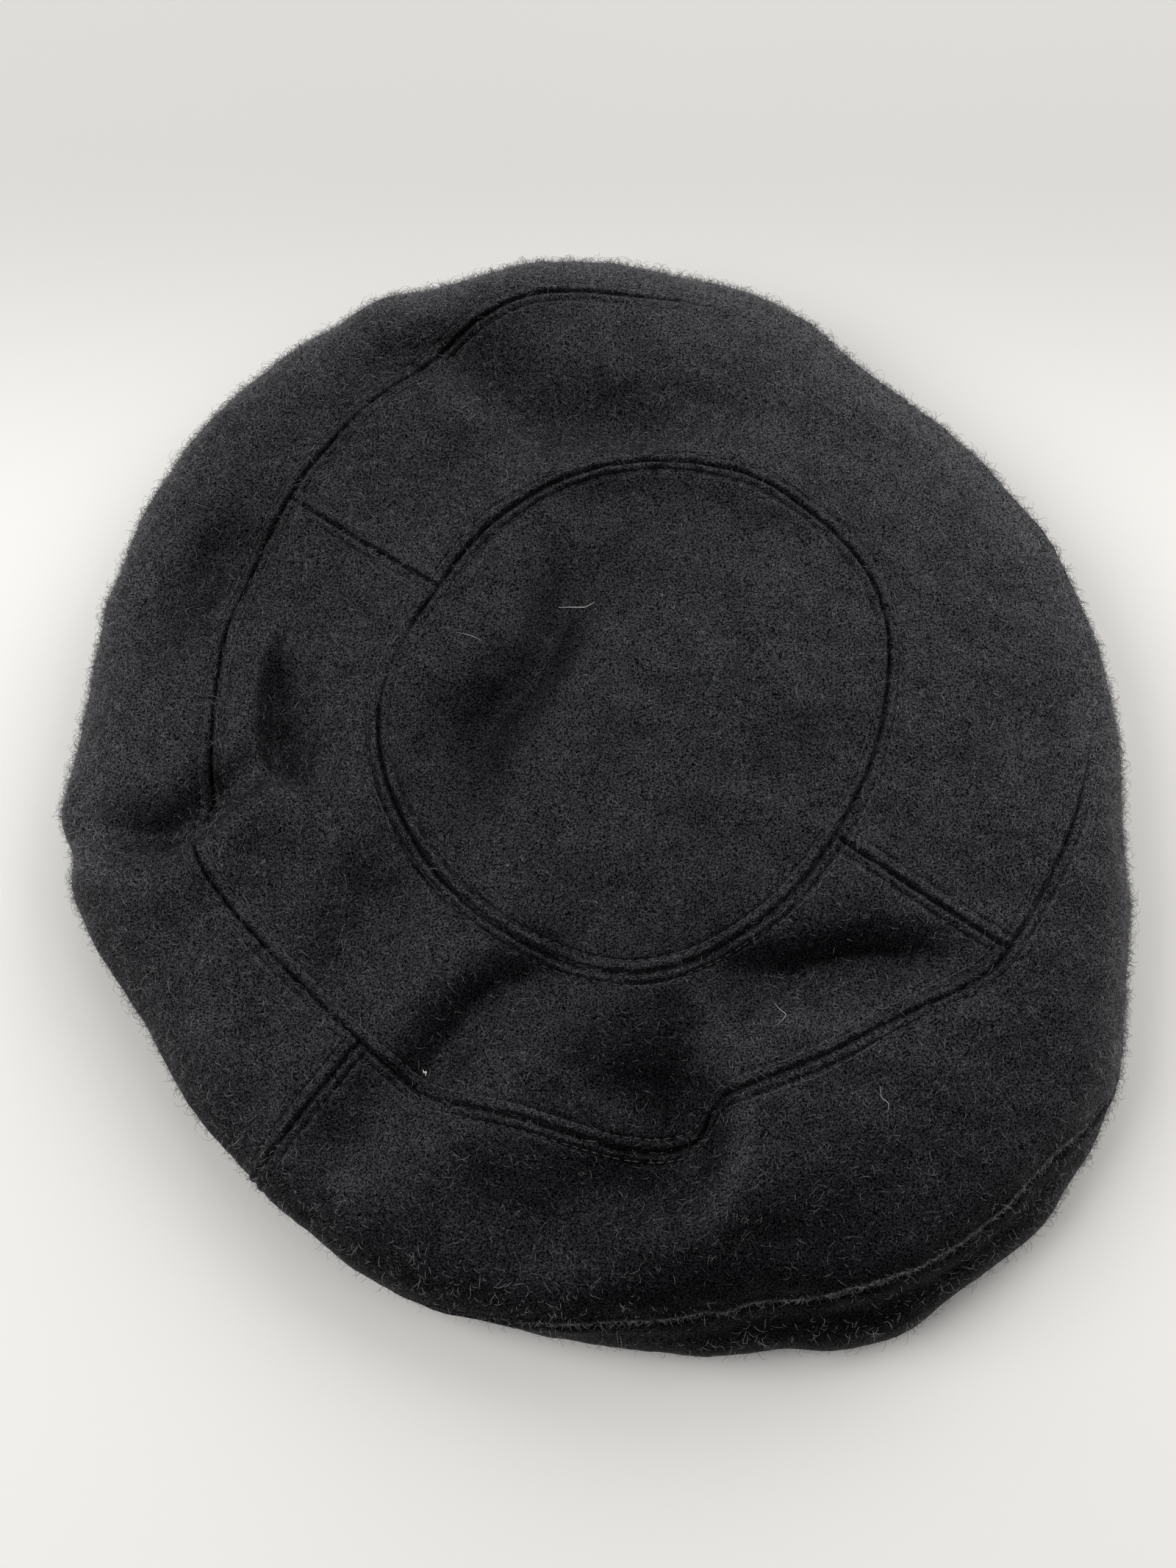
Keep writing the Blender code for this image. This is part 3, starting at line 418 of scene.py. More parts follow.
def fold_height(x, y):
    """Rise or fall of the cloth at places in plan, summed over the folds."""
    rise = np.zeros_like(x)
    for left_flank, right_flank, rounding, stations in FOLDS:
        angles, reaches, strengths = smooth_line(stations, LINE_STEPS * (len(stations) - 1) + 1)
        line = np.stack(plan(angles, plan_radius(angles, reaches)), -1)
        (left, left_width), (right, right_width) = np.array([left_flank, right_flank]) * MM
        edge = rounding * MM
        middle, half = (line.min(0) + line.max(0)) / 2, np.ptp(line, 0) / 2
        far = half + FOLD_REACH * max(left_width, right_width)
        near = (np.abs(np.stack([x, y], -1) - middle) < far).all(-1)
        place = np.stack([x[near], y[near]], -1)[:, None]
        step = np.diff(line, axis=0)
        t = np.clip(((place - line[:-1]) * step).sum(-1) / (step ** 2).sum(-1), 0, 1)
        off = place - line[:-1] - t[..., None] * step
        gap = np.linalg.norm(off, axis=-1)
        nearest = gap.min(1)
        share = np.exp(-(gap ** 2 - nearest[:, None] ** 2) / (2 * LINE_BLEND ** 2))
        share /= share.sum(1, keepdims=True)
        side = (step[:, 0] * off[..., 1] - step[:, 1] * off[..., 0]) / np.linalg.norm(step, axis=1)
        side = (share * side / np.maximum(gap, edge)).sum(1)
        strength = (share * (strengths[:-1] + t * np.diff(strengths))).sum(1)
        mix = 0.5 + 0.25 * side * (3 - side * side)
        away = np.hypot(nearest, edge) - edge
        left_rise = left * np.exp(-(away / left_width) ** FOLD_FALL)
        right_rise = right * np.exp(-(away / right_width) ** FOLD_FALL)
        rise[near] += strength * (mix * left_rise + (1 - mix) * right_rise)
    return np.where(rise < 0, FOLD_LIMIT * np.tanh(rise / FOLD_LIMIT), rise)


def surface(angle, reach):
    """Points of the smooth outer face for arrays of angle in degrees and reach in seams."""
    angle, reach = np.broadcast_arrays(np.asarray(angle, float), np.asarray(reach, float))
    shape = angle.shape
    angle, reach = angle.ravel(), reach.ravel()
    radius = plan_radius(angle, np.minimum(reach, 2))
    inside = np.minimum(radius / outer_seam_radius(angle), 1)
    top = SHOULDER_HEIGHT * around(SHOULDER_SHAPE, angle)
    height = SHOULDER_HEIGHT + (top - SHOULDER_HEIGHT) * inside ** 2 + CROWN_RISE * (1 - inside ** 2) ** 2
    height -= droop(angle) * inside ** DROOP_POWER
    firm = np.ones_like(radius)
    beyond = np.flatnonzero(reach > 2)
    if len(beyond):
        turns, which = np.unique(angle[beyond], return_inverse=True)
        sections = roll(turns)
        rings = np.minimum(outer_ring_width(turns), FULLEST_RING * sections[2][:, -1])
        places = np.split(beyond[np.argsort(which, kind="stable")], np.cumsum(np.bincount(which))[:-1])
        for k, mine in enumerate(places):
            along_r, along_z, length = (section[k] for section in sections)
            share = reach[mine] - 2
            place = np.where(share <= 1, share * rings[k], rings[k] + (share - 1) * (length[-1] - rings[k]))
            radius[mine] = np.interp(place, length, along_r)
            height[mine] = np.interp(place, length, along_z)
            fade = 1 - ramp(place, 0, length[np.argmax(along_r)])
            firm[mine] = fade * (2 - fade)
    x, y = plan(angle, radius)
    height = height + firm * fold_height(x, y)
    return np.stack([x, y, height], -1).reshape(*shape, 3)


def grid_normals(points):
    """Unit normals out of the beret on a grid whose columns turn left and whose rows run outwards."""
    return unit(np.cross(np.gradient(points, axis=1), np.gradient(points, axis=0)))


def normals(angle, reach):
    """Unit normals of the smooth face at single places."""
    step, twist = NORMAL_STEPS
    out = surface(angle, np.clip(reach + step, 0, 4)) - surface(angle, np.clip(reach - step, 0, 4))
    off_centre = np.maximum(reach, 0.01)  # at the centre itself a turn leads nowhere
    turn = surface(angle + twist, off_centre) - surface(angle - twist, off_centre)
    return unit(np.cross(out, turn))


# ---- sewn relief ------------------------------------------
def seam_relief(distance, stitched=True):
    """Rise of the cloth at a distance from a seam."""
    rise = GROOVE[0] * np.exp(-(distance / GROOVE[1]) ** 2)
    rise = rise + SWELL[0] * np.exp(-((distance - SWELL[1]) / SWELL[2]) ** 2)
    if stitched:
        rise = rise + FURROW[0] * np.exp(-((distance - FURROW[1]) / FURROW[2]) ** 2)
    return rise


def ripple(points, wavelength, amplitude, seed, count=24):
    """Smooth seeded unevenness of the cloth, as a sum of waves in random directions."""
    random = np.random.default_rng(seed)
    ways = unit(random.normal(size=(count, 3)))
    rates = 2 * math.pi / (wavelength * random.uniform(0.65, 1.5, count))
    phases = random.uniform(0, 2 * math.pi, count)
    total = np.zeros(points.shape[:-1])
    for way, rate, phase in zip(ways, rates, phases):
        total += np.sin(points @ way * rate + phase)
    return amplitude * total / math.sqrt(count / 2)


def turned(angle, join):
    """Angle from the nearer of two joins that lie half a turn apart, in degrees, never negative."""
    off = (angle - join) % 180
    return np.minimum(off, 180 - off)


def relief(angle, reach, points):
    """Everything that the sewing and the cloth's own unevenness add to the smooth face."""
    radius = np.hypot(points[..., 0], points[..., 1])
    inner_width, ring_width = inner_ring_width(angle), outer_ring_width(angle)
    off_tip = np.where(reach < 1, (1 - reach) * tip_seam_radius(angle), (reach - 1) * inner_width)
    off_outer = np.where(reach < 2, (2 - reach) * inner_width, (reach - 2) * ring_width)
    off_edge = np.abs(reach - 3) * ring_width
    pull = np.clip(1 + sum(ripple(points, *wave) for wave in PULL_WAVES), *PULL_RANGE)
    flat = 1 - HUNG_SEAM * ramp(around(DROOP_SHAPE, angle), 0, HUNG_DROOP)
    faint = around(TIP_SEAM_PULL, angle)
    rise = seam_relief(off_tip) * pull * faint + seam_relief(off_outer) * pull * flat
    rise += EDGE_SEAM * seam_relief(off_edge, False)
    inner_join = np.where((reach > 1) & (reach < 2), radius * np.radians(turned(angle, INNER_SEAM)), 1)
    outer_join = np.where((reach > 2) & (reach < 3), radius * np.radians(turned(angle, OUTER_SEAM)), 1)
    under_join = np.where(reach > 3, radius * np.radians(turned(angle, UNDER_SEAM)), 1)
    pressed = np.where(np.cos(np.radians(angle - OUTER_SEAM)) < 0, PRESSED_JOIN, 1)
    rise += seam_relief(inner_join) * pull + seam_relief(outer_join) * pull * pressed
    rise += seam_relief(under_join, False)
    return rise + sum(ripple(points, *wave) for wave in UNEVEN)


def painted_light(reach, points, out):
    """Painted shade on the nap: 1 in the deepest fold, 0 on open cloth, also in front and below the edge
    seam; less along the rim, down to a painted highlight.
    """
    x, y, facing_front = points[..., 0], points[..., 1], -out[..., 1]
    angle = bearing(x, y)
    # painted shade in the creases, by how deep the fold is
    crease_shade = ramp(-fold_height(x, y), 0, CREASE_SHADE_DEPTH) ** CREASE_SHADE_POWER
    # painted shade in front: a band where the front rolls over, and the cloth that faces the front
    front_band_shade = around(FRONT_SHAPE, angle) * ramp(reach, *FRONT_REACH)
    front = FRONT_PAINTED_SHADE * np.maximum(ramp(facing_front, *FRONT_FACING) * ramp(reach, 1, 2), front_band_shade)
    # painted highlight: the nap is made paler along the rim, less where it faces the front
    rim = RIM_PAINTED_HIGHLIGHT * ramp(rim_share(x, y), RIM_START, 1) ** RIM_POWER * (1 - ramp(facing_front, *RIM_FACING))
    below = ramp(reach, *BELOW_REACH)
    # painted shade below the edge seam, most in front, where the under ring lies in shade
    closed = BELOW_PAINTED_SHADE[0] + (BELOW_PAINTED_SHADE[1] - BELOW_PAINTED_SHADE[0]) * around(BELOW_FRONT, angle)
    # the painted shades add up, and the rim's painted highlight takes away from them
    return np.maximum((crease_shade + front) * (1 - below), closed * below) - rim * (1 - below)


def dressed(angle, reach):
    """Points of the finished outer face and its smooth normals, at single places."""
    points, out = surface(angle, reach), normals(angle, reach)
    return points + out * relief(angle, reach, points)[..., None], out


# ---- meshes -----------------------------------------------
def mesh_object(name, vertices, faces, materials):
    mesh = bpy.data.meshes.new(name)
    mesh.from_pydata(vertices.tolist(), [], faces if isinstance(faces, list) else faces.tolist())
    mesh.validate()
    mesh.shade_smooth()
    for material in materials:
        mesh.materials.append(material)
    piece = bpy.data.objects.new(name, mesh)
    bpy.context.scene.collection.objects.link(piece)
    return piece


def slab(name, outer, inner, material, painted_light_values=None):
    """A closed piece of cloth between two grids of points."""
    columns, rows = outer.shape[:2]
    index = np.arange(columns * rows).reshape(columns, rows)
    quads = np.stack([index[:-1, :-1], index[:-1, 1:], index[1:, 1:], index[1:, :-1]], -1).reshape(-1, 4)
    back = quads[:, ::-1] + columns * rows
    rim = np.concatenate([index[:, 0], index[-1, 1:], index[-2::-1, -1], index[0, -2:0:-1]])
    after = np.roll(rim, -1)
    sides = np.stack([rim, after, after + columns * rows, rim + columns * rows], -1)
    vertices = np.concatenate([outer.reshape(-1, 3), inner.reshape(-1, 3)])
    piece = mesh_object(name, vertices + SHIFT, np.concatenate([quads, back, sides]), [material])
    # the painted shade and rim highlight, kept on the shell's points for the wool
    if painted_light_values is not None:
        layer = piece.data.attributes.new("painted_light", "FLOAT", "POINT")
        layer.data.foreach_set("value", np.tile(painted_light_values.ravel(), 2).astype(np.float32))
    return piece


def sheet(name, angle, reach, points, out, depth, thickness, material):
    """A piece of cloth at a depth below the outer face; the shell, at no depth, has the sewing in it."""
    sewn = depth == 0
    rise = relief(angle, reach, points) if sewn else ripple(points, *UNEVEN_LINING)
    outer = points + out * (rise[..., None] - depth)
    inner = points - out * (depth + thickness)
    return slab(name, outer, inner, material, painted_light(reach, points, out) if sewn else None)


def spread(start, end, near, step):
    """Places from start to end, crowded at both."""
    length = end - start
    middle = np.linspace(near[-1], length - near[-1], max(2, round((length - 2 * near[-1]) / step)))
    return start + np.concatenate([near, middle[1:-1], length - near[::-1]])


def ring_rows(first, last, width):
    rows = spread(0, width, NEAR_SEAM, WIDE_STEP) / width
    return first + rows * (last - first)


def half_ring(name, join, reaches, depth, thickness, material):
    """Half of a ring from one join round to the other."""
    turns = spread(0, 180, NEAR_JOIN, COLUMN_STEP) if depth == 0 else np.linspace(0, 180, LINING_COLUMNS)
    turns = join + np.concatenate([[turns[0] - OVERLAP[0]], turns, [turns[-1] + OVERLAP[0]]])
    wide = np.concatenate([[reaches[0] - OVERLAP[1]], reaches, [min(reaches[-1] + OVERLAP[1], 4.0)]])
    angle, reach = np.meshgrid(turns, wide, indexing="ij")
    points = surface(angle, reach)
    if wide[-1] == wide[-2]:
        points[:, -1] = 2 * points[:, -2] - points[:, -3]
    trimmed = (grid[1:-1, 1:-1] for grid in (angle, reach, points, grid_normals(points)))
    return sheet(name, *trimmed, depth, thickness, material)


def disc_places(cells):
    """Angle and reach of a square grid squeezed into a disc, with evenly spaced places on its edge."""
    line = np.linspace(-1, 1, cells + 1)
    u, v = np.meshgrid(line, line, indexing="ij")
    wide = np.abs(u) >= np.abs(v)
    far = np.where(wide, u, v)
    ratio = np.divide(np.where(wide, v, u), far, out=np.zeros_like(u), where=far != 0)
    angle = np.where(wide, 45 * ratio, 90 - 45 * ratio) + np.where(far < 0, 180, 0)
    return angle, np.abs(far)


def tip(name, cells, depth, thickness, material):
    """The round piece inside the tip seam."""
    angle, far = disc_places(cells)
    rings = np.linspace(0, 1, cells // 2 + 1)
    if depth == 0:
        near = 1 - NEAR_SEAM[::-1] / TIP_RADIUS
        rings = np.concatenate([np.linspace(0, near[0], len(rings) - len(near) + 1)[:-1], near])
    reach = rings[np.round(far * (cells // 2)).astype(int)]
    return sheet(name, angle, reach, surface(angle, reach), normals(angle, reach), depth, thickness, material)


def rounded_section(width, low, high, corner, step):
    """Depth, height and outward normal round the closed section of a strip that stands on edge."""
    half = np.array([width / 2 - corner, (high - low) / 2 - corner])
    middles = half * [(1, 1), (-1, 1), (-1, -1), (1, -1)]
    places, outs = [], []
    for turn, middle in enumerate(middles):
        bend = np.radians(90 * turn + np.linspace(0, 90, CORNER_PLACES))
        out = np.stack([np.cos(bend), np.sin(bend)], -1)
        arc = middle + corner * out
        side = middles[(turn + 1) % 4] + corner * out[-1] - arc[-1]
        count = max(2, round(np.linalg.norm(side) / step))
        share = np.linspace(0, 1, count + 1)[1:-1, None]
        places += [arc, arc[-1] + share * side]
        outs += [out, np.repeat(out[-1:], len(share), 0)]
    places = np.concatenate(places) + (width / 2, (low + high) / 2)
    return places[:, 0], places[:, 1], np.concatenate(outs)


def standing_band(name, inset, section, columns, relief_of, material):
    """A strip that stands round the head opening, with a relief over its whole skin."""
    depth, height, out = section
    angle = np.linspace(0, 360, columns, endpoint=False)
    edge = np.stack(plan(angle, head_radius(angle)), -1)
    along = np.roll(edge, -1, 0) - np.roll(edge, 1, 0)
    inward = unit(np.stack([-along[:, 1], along[:, 0]], -1))
    rise = relief_of(distances(edge)[:, None], height[None], angle[:, None])
    # the section's first axis runs inwards from the outside of the headband
    flat = edge[:, None] + inward[:, None] * (inset + depth + rise * out[:, 0])[..., None]
    points = np.concatenate([flat, (height + rise * out[:, 1])[..., None]], -1)
    rows = len(depth)
    index = np.arange(columns * rows).reshape(columns, rows)
    beside, above = np.roll(index, -1, 0), np.roll(index, -1, 1)
    faces = np.stack([index, beside, np.roll(beside, -1, 1), above], -1).reshape(-1, 4)
    return mesh_object(name, points.reshape(-1, 3) + SHIFT, faces, [material])


def headband_relief(length, height, angle):
    """One join and one row of stitching, on cloth that isn't quite even."""
    join = head_radius(angle) * np.abs(np.radians((angle - OUTER_SEAM + 180) % 360 - 180))
    rise = seam_relief(join) + FURROW[0] * np.exp(-((height - BAND_STITCHES) / FURROW[2]) ** 2)
    return rise + BAND_WAVE[0] * np.sin(length / BAND_WAVE[1]) * np.sin(height / BAND_WAVE[2])


def ribbon_relief(length, height, angle):
    """Upright ribs between two flat selvedges."""
    edge = np.minimum(height - SWEATBAND_LIFT, HEADBAND_HEIGHT - height)
    ribs = RIB_DEPTH * np.cos(2 * math.pi * length / RIB_PITCH)
    return ribs * ramp(edge / SELVEDGE, 0.4, 1.4)


# ---- materials --------------------------------------------
class Nodes:
    """Short ways to add and join the nodes of one material."""

    def __init__(self, name, roughness):
        self.material = bpy.data.materials.new(name)
        self.material.use_nodes = True
        self.tree = self.material.node_tree
        self.shader = self.tree.nodes["Principled BSDF"]
        self.shader.inputs["Roughness"].default_value = roughness
        self.place = self.add("ShaderNodeTexCoord").outputs["Object"]

    def add(self, kind, **values):
        node = self.tree.nodes.new(kind)
        for key, value in values.items():
            setattr(node, key, value)
        return node

    def join(self, output, node, key):
        self.tree.links.new(output, node.inputs[key])

    def noise(self, scale, detail=2.0, rough=0.5, stretch=None, turn=0, distortion=0.0):
        node = self.add("ShaderNodeTexNoise")
        node.inputs["Scale"].default_value = scale
        node.inputs["Detail"].default_value = detail
        node.inputs["Roughness"].default_value = rough
        node.inputs["Distortion"].default_value = distortion
        place = self.place
        if stretch:
            mapping = self.add("ShaderNodeMapping", vector_type="TEXTURE")
            mapping.inputs["Rotation"].default_value = (0, 0, math.radians(turn))
            mapping.inputs["Scale"].default_value = [1 / rate for rate in stretch]
            self.join(place, mapping, "Vector")
            place = mapping.outputs["Vector"]
        self.join(place, node, "Vector")
        return node.outputs["Fac"]

    def range(self, value, low, high, to_low=0.0, to_high=1.0):
        node = self.add("ShaderNodeMapRange", interpolation_type="SMOOTHSTEP")
        for key, number in (("From Min", low), ("From Max", high), ("To Min", to_low), ("To Max", to_high)):
            node.inputs[key].default_value = number
        self.join(value, node, "Value")
        return node.outputs["Result"]

    def math(self, operation, a, b):
        node = self.add("ShaderNodeMath", operation=operation)
        for i, value in enumerate((a, b)):
            if isinstance(value, (int, float)):
                node.inputs[i].default_value = value
            else:
                self.join(value, node, i)
        return node.outputs[0]

    def scaled(self, colour, factor):
        node = self.add("ShaderNodeVectorMath", operation="SCALE")
        self.join(colour, node, 0)
        self.join(factor, node, "Scale")
        return node.outputs[0]

    def mix(self, factor, a, b):
        node = self.add("ShaderNodeMix", data_type="RGBA")
        self.join(factor, node, "Factor")
        for socket, colour in ((6, a), (7, b)):
            node.inputs[socket].default_value = (*colour, 1)
        return node.outputs[2]

    def finish(self, colour, height=None, distance=0, strength=0):
        self.join(colour, self.shader, "Base Color")
        if height is not None:
            bump = self.add("ShaderNodeBump")
            bump.inputs["Distance"].default_value = distance
            bump.inputs["Strength"].default_value = strength
            self.join(height, bump, "Height")
            self.join(bump.outputs["Normal"], self.shader, "Normal")
        return self.material


def wool_material():
    """Nearly black melton: a grainy nap and paler strands, with painted shade in folds, in front and below,
    and a painted rim highlight.
    """
    made = Nodes("wool", 0.6)
    shader = made.shader
    shader.inputs["Sheen Roughness"].default_value = 0.45
    shader.inputs["Sheen Tint"].default_value = (0.9, 0.92, 0.96, 1)
    blotch = made.range(made.noise(150, 3, 0.55), 0.3, 0.7, 0.85, 1.15)
    grain = made.noise(2200, 2, 0.7)
    tufts = None
    for turn in (8, 52, 97, 143):
        strand = made.noise(1, 1.5, 0.5, stretch=(2600, 520, 1800), turn=turn, distortion=0.6)
        tufts = strand if tufts is None else made.math("MAXIMUM", tufts, strand)
    strands = made.range(tufts, 0.64, 0.82)
    nap = made.math("MULTIPLY", made.range(grain, 0.385, 0.625, 0.06, 2.3), blotch)
    painted_light_values = made.add("ShaderNodeAttribute", attribute_name="painted_light").outputs["Fac"]
    # the nap's grain times the painted shade and rim highlight: it scales the colour, the specular and the
    # sheen
    nap_and_painted_light = made.math("MULTIPLY", nap, made.math("SUBTRACT", 1, made.math("MULTIPLY", painted_light_values, PAINTED_SHADE_SHARE)))
    made.join(made.math("MULTIPLY", nap_and_painted_light, 0.24), shader, "Specular IOR Level")
    tint = made.range(made.noise(1900, 1, 0.5), 0.35, 0.65)
    made.join(made.mix(tint, (0.82, 0.93, 1.0), (1.0, 0.88, 0.96)), shader, "Specular Tint")
    made.join(made.math("MULTIPLY", nap_and_painted_light, 0.03), shader, "Sheen Weight")
    colour = made.mix(strands, (0.0022, 0.0023, 0.0034), (0.045, 0.045, 0.047))
    height = made.math("ADD", made.math("MULTIPLY", grain, 0.6), made.math("MULTIPLY", tufts, 0.7))
    return made.finish(made.scaled(colour, nap_and_painted_light), height, 0.45 * MM, 0.35)


def twisted_material(name, detail, stretch, turn, dark, pale, depth, strength):
    """Yarn whose plies show as fine dark and pale lines."""
    made = Nodes(name, 0.6)
    made.shader.inputs["Sheen Weight"].default_value = 0.2
    ply = made.noise(1, detail, 0.5, stretch, turn)
    return made.finish(made.mix(made.range(ply, 0.35, 0.65), dark, pale), ply, depth, strength)


def fibre_material(name, colour):
    made = Nodes(name, 0.75)
    made.shader.inputs["Base Color"].default_value = (*colour, 1)
    made.shader.inputs["Specular IOR Level"].default_value = 0.3
    return made.material


def satin_material():
    made = Nodes("satin", 0.4)
    made.shader.inputs["Sheen Weight"].default_value = 0.3
    warp = made.noise(1, 1, 0.5, stretch=(5200, 260, 260))
    weft = made.noise(1, 1, 0.5, stretch=(260, 5200, 260))
    weave = made.math("ADD", warp, weft)
    colour = made.mix(made.range(weave, 0.8, 1.2), (0.011, 0.011, 0.013), (0.020, 0.020, 0.022))
    made.join(made.range(made.noise(90, 3), 0.3, 0.7, 0.32, 0.5), made.shader, "Roughness")
    return made.finish(colour, weave, 0.08 * MM, 0.5)


def floor_material():
    """White paper, with painted shade that darkens it towards the back."""
    made = Nodes("floor", 0.9)
    made.shader.inputs["Specular IOR Level"].default_value = 0.1
    colour = made.mix(made.range(made.noise(3, 2), 0.3, 0.7), (0.81, 0.80, 0.785), (0.825, 0.815, 0.80))
    split = made.add("ShaderNodeSeparateXYZ")
    made.join(made.place, split, 0)
    return made.finish(made.scaled(colour, made.range(split.outputs["Y"], *FLOOR_FADE, 1.0, FLOOR_BACK_SHADE)))


# ---- threads and fibres -----------------------------------
chance = np.random.default_rng(2024)  # places and bends the loose hairs


def tubes(name, paths, radii, sides, materials, pick=0):
    """Many thin closed tubes in one mesh: paths is (count, steps, 3), radii (steps,); pick, the materials."""
    count, steps = paths.shape[:2]
    along = unit(np.gradient(paths, axis=1))
    helper = np.where(np.abs(along[..., 2:]) < 0.9, [[[0, 0, 1.0]]], [[[1.0, 0, 0]]])
    first = unit(np.cross(along, helper))
    second = np.cross(along, first)
    turn = np.arange(sides) * 2 * math.pi / sides
    ring = first[:, :, None] * np.cos(turn)[:, None] + second[:, :, None] * np.sin(turn)[:, None]
    body = paths[:, :, None] + ring * np.asarray(radii)[None, :, None, None]
    k, low = np.arange(sides), np.arange(steps - 1)[:, None] * sides
    after, high = (k + 1) % sides, low + sides
    quads = np.stack([low + k, high + k, high + after, low + after], -1).reshape(-1, 4)
    caps = np.stack([k, k[::-1] + (steps - 1) * sides])
    starts = np.arange(count)[:, None, None] * (steps * sides)
    faces = (quads + starts).reshape(-1, 4).tolist() + (caps + starts).reshape(-1, sides).tolist()
    piece = mesh_object(name, body.reshape(-1, 3) + SHIFT, faces, materials)
    pick = np.broadcast_to(pick, count)
    of_face = np.concatenate([np.repeat(pick, len(quads)), np.repeat(pick, len(caps))])
    piece.data.polygons.foreach_set("material_index", of_face.astype(np.int32))
    return piece


def stitch_row(angle, reach):
    """Paths of the stitches along a fine line of places."""
    points, out = dressed(angle, reach)
    length = distances(points)
    starts = np.arange(FIRST_STITCH * STITCH_PITCH, length[-1] - STITCH_LENGTH, STITCH_PITCH)
    random = np.random.default_rng(len(angle))
    starts = starts + random.normal(0, STITCH_JITTER * STITCH_PITCH, len(starts))
    t = np.linspace(0, 1, len(THREAD_TAPER))
    at = starts[:, None] + t * STITCH_LENGTH
    lift = THREAD_RADIUS * (ARCH[0] * np.sin(np.pi * t) ** ARCH_POWER - ARCH[1])
    path, away = (np.stack([np.interp(at, length, part) for part in line.T], -1) for line in (points, out))
    return path + away * lift[None, :, None]


def fibre_paths(points, out, lengths, lift, bend, steps):
    """Curved hairs that start in the cloth and lie down or stand up from it."""
    count = len(points)
    lean = chance.normal(size=(count, 3))
    lean = unit(lean - out * (lean * out).sum(1, keepdims=True))
    curl = np.cross(out, lean) * chance.normal(0, bend, (count, 1))
    t = np.linspace(0, 1, steps)[None, :, None]
    # a fibre starts a little inside the cloth, rises over most of its length and then runs level
    rise = lift[:, None, None] * np.sin(np.minimum(t * 2.2, 1.9)) * 0.7
    way = lean[:, None] * t + curl[:, None] * t * t * 0.8
    paths = points[:, None] + lengths[:, None, None] * (way + out[:, None] * (rise - 0.02))
    paths[..., 2] = np.maximum(paths[..., 2], FLOOR_GAP - SHIFT[2])
    return paths


def scatter(pieces, count, keep):
    """Random places on the outward faces of pieces, with their normals; keep weighs the places."""
    corners, sizes, outs = [], [], []
    for piece in pieces:
        mesh = piece.data
        places = np.empty(len(mesh.vertices) * 3)
        mesh.vertices.foreach_get("co", places)
        places = places.reshape(-1, 3)
        half = len(places) // 2
        loops = np.empty(len(mesh.loops), np.int32)
        mesh.loops.foreach_get("vertex_index", loops)
        quads = loops.reshape(-1, 4)
        quads = quads[(quads < half).all(1)]
        square = places[quads]
        normal = np.cross(square[:, 2] - square[:, 0], square[:, 3] - square[:, 1])
        size = np.linalg.norm(normal, axis=1)
        good = size > 1e-12
        corners.append(square[good])
        outs.append(normal[good] / size[good, None])
        sizes.append(size[good])
    corners, outs = np.concatenate(corners), np.concatenate(outs)
    sizes = np.concatenate(sizes) * keep(corners.mean(1), outs)
    chosen = chance.choice(len(sizes), count, p=sizes / sizes.sum())
    u, v = chance.uniform(size=(2, count, 1))
    square = corners[chosen]
    near = (1 - v) * square[:, 0] + v * square[:, 1]
    far = (1 - v) * square[:, 3] + v * square[:, 2]
    return (1 - u) * near + u * far - SHIFT, outs[chosen]


def fewer_fibres_in_shade(centres, outs):
    """Fewer loose fibres in front, where the shade falls, so that the pale ones don't lighten it: painted
    shade.
    """
    return np.clip(0.9 + 1.2 * outs[:, 1], 0.12, 1)


def rim_weight(centres, outs):
    """Most fibres on the rim, and fewer in front, where the shade falls: painted shade."""
    share = rim_share(*(centres - SHIFT)[:, :2].T)
    return ramp(share, 0.9, 1) * np.clip(0.9 + outs[:, 1], 0.06, 1)


def fibres(name, places, length, lift, radii, materials, shares=None, bend=0.6):
    """Loose fibres that start at places; shares says how many have each material.

    Length is a gamma shape and scale, the shortest and the longest, in millimetres, and lift the least and
    the most that one rises, as a share of its length.
    """
    points, out = places
    count = len(points)
    lengths = chance.gamma(*length[:2], count).clip(*length[2:]) * MM
    paths = fibre_paths(points, out, lengths, chance.uniform(*lift, count), bend, len(radii))
    pick = chance.choice(len(materials), count, p=shares) if shares else np.arange(count) % len(materials)
    fit(tubes(name, paths, radii, 3, materials, pick), "wool")


# ---- building ---------------------------------------------
def frame_shift():
    """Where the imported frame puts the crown's centre."""
    turns = np.arange(0, 360, SOLID_STEP)
    x, y = plan(turns, head_radius(turns))
    low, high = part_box("headband")
    across = (low.x + high.x - x.min() - x.max()) / 2
    along = (low.y + high.y - y.min() - y.max()) / 2
    return np.array([across, along, low.z])


def fit(piece, slot, *nodes):
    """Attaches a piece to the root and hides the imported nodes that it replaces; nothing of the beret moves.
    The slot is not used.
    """
    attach(piece, "root")
    if nodes:
        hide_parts(*nodes)
    return piece


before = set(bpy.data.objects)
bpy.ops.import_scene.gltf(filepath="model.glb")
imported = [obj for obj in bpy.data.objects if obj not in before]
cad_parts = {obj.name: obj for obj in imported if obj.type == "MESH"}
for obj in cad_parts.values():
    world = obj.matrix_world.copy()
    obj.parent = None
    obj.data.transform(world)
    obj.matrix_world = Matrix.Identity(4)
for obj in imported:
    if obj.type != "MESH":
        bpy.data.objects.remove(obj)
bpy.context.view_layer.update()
SHIFT = frame_shift()

wool, satin = wool_material(), satin_material()
thread = twisted_material(
    "thread", 1, (4200, 4200, 1500), 30, (0.006, 0.006, 0.007), (0.040, 0.040, 0.043), 0.05 * MM, 0.6)
ribbon = twisted_material(
    "ribbon", 2, (900, 900, 4200), 0, (0.009, 0.009, 0.010), (0.021, 0.021, 0.022), 0.08 * MM, 0.5)

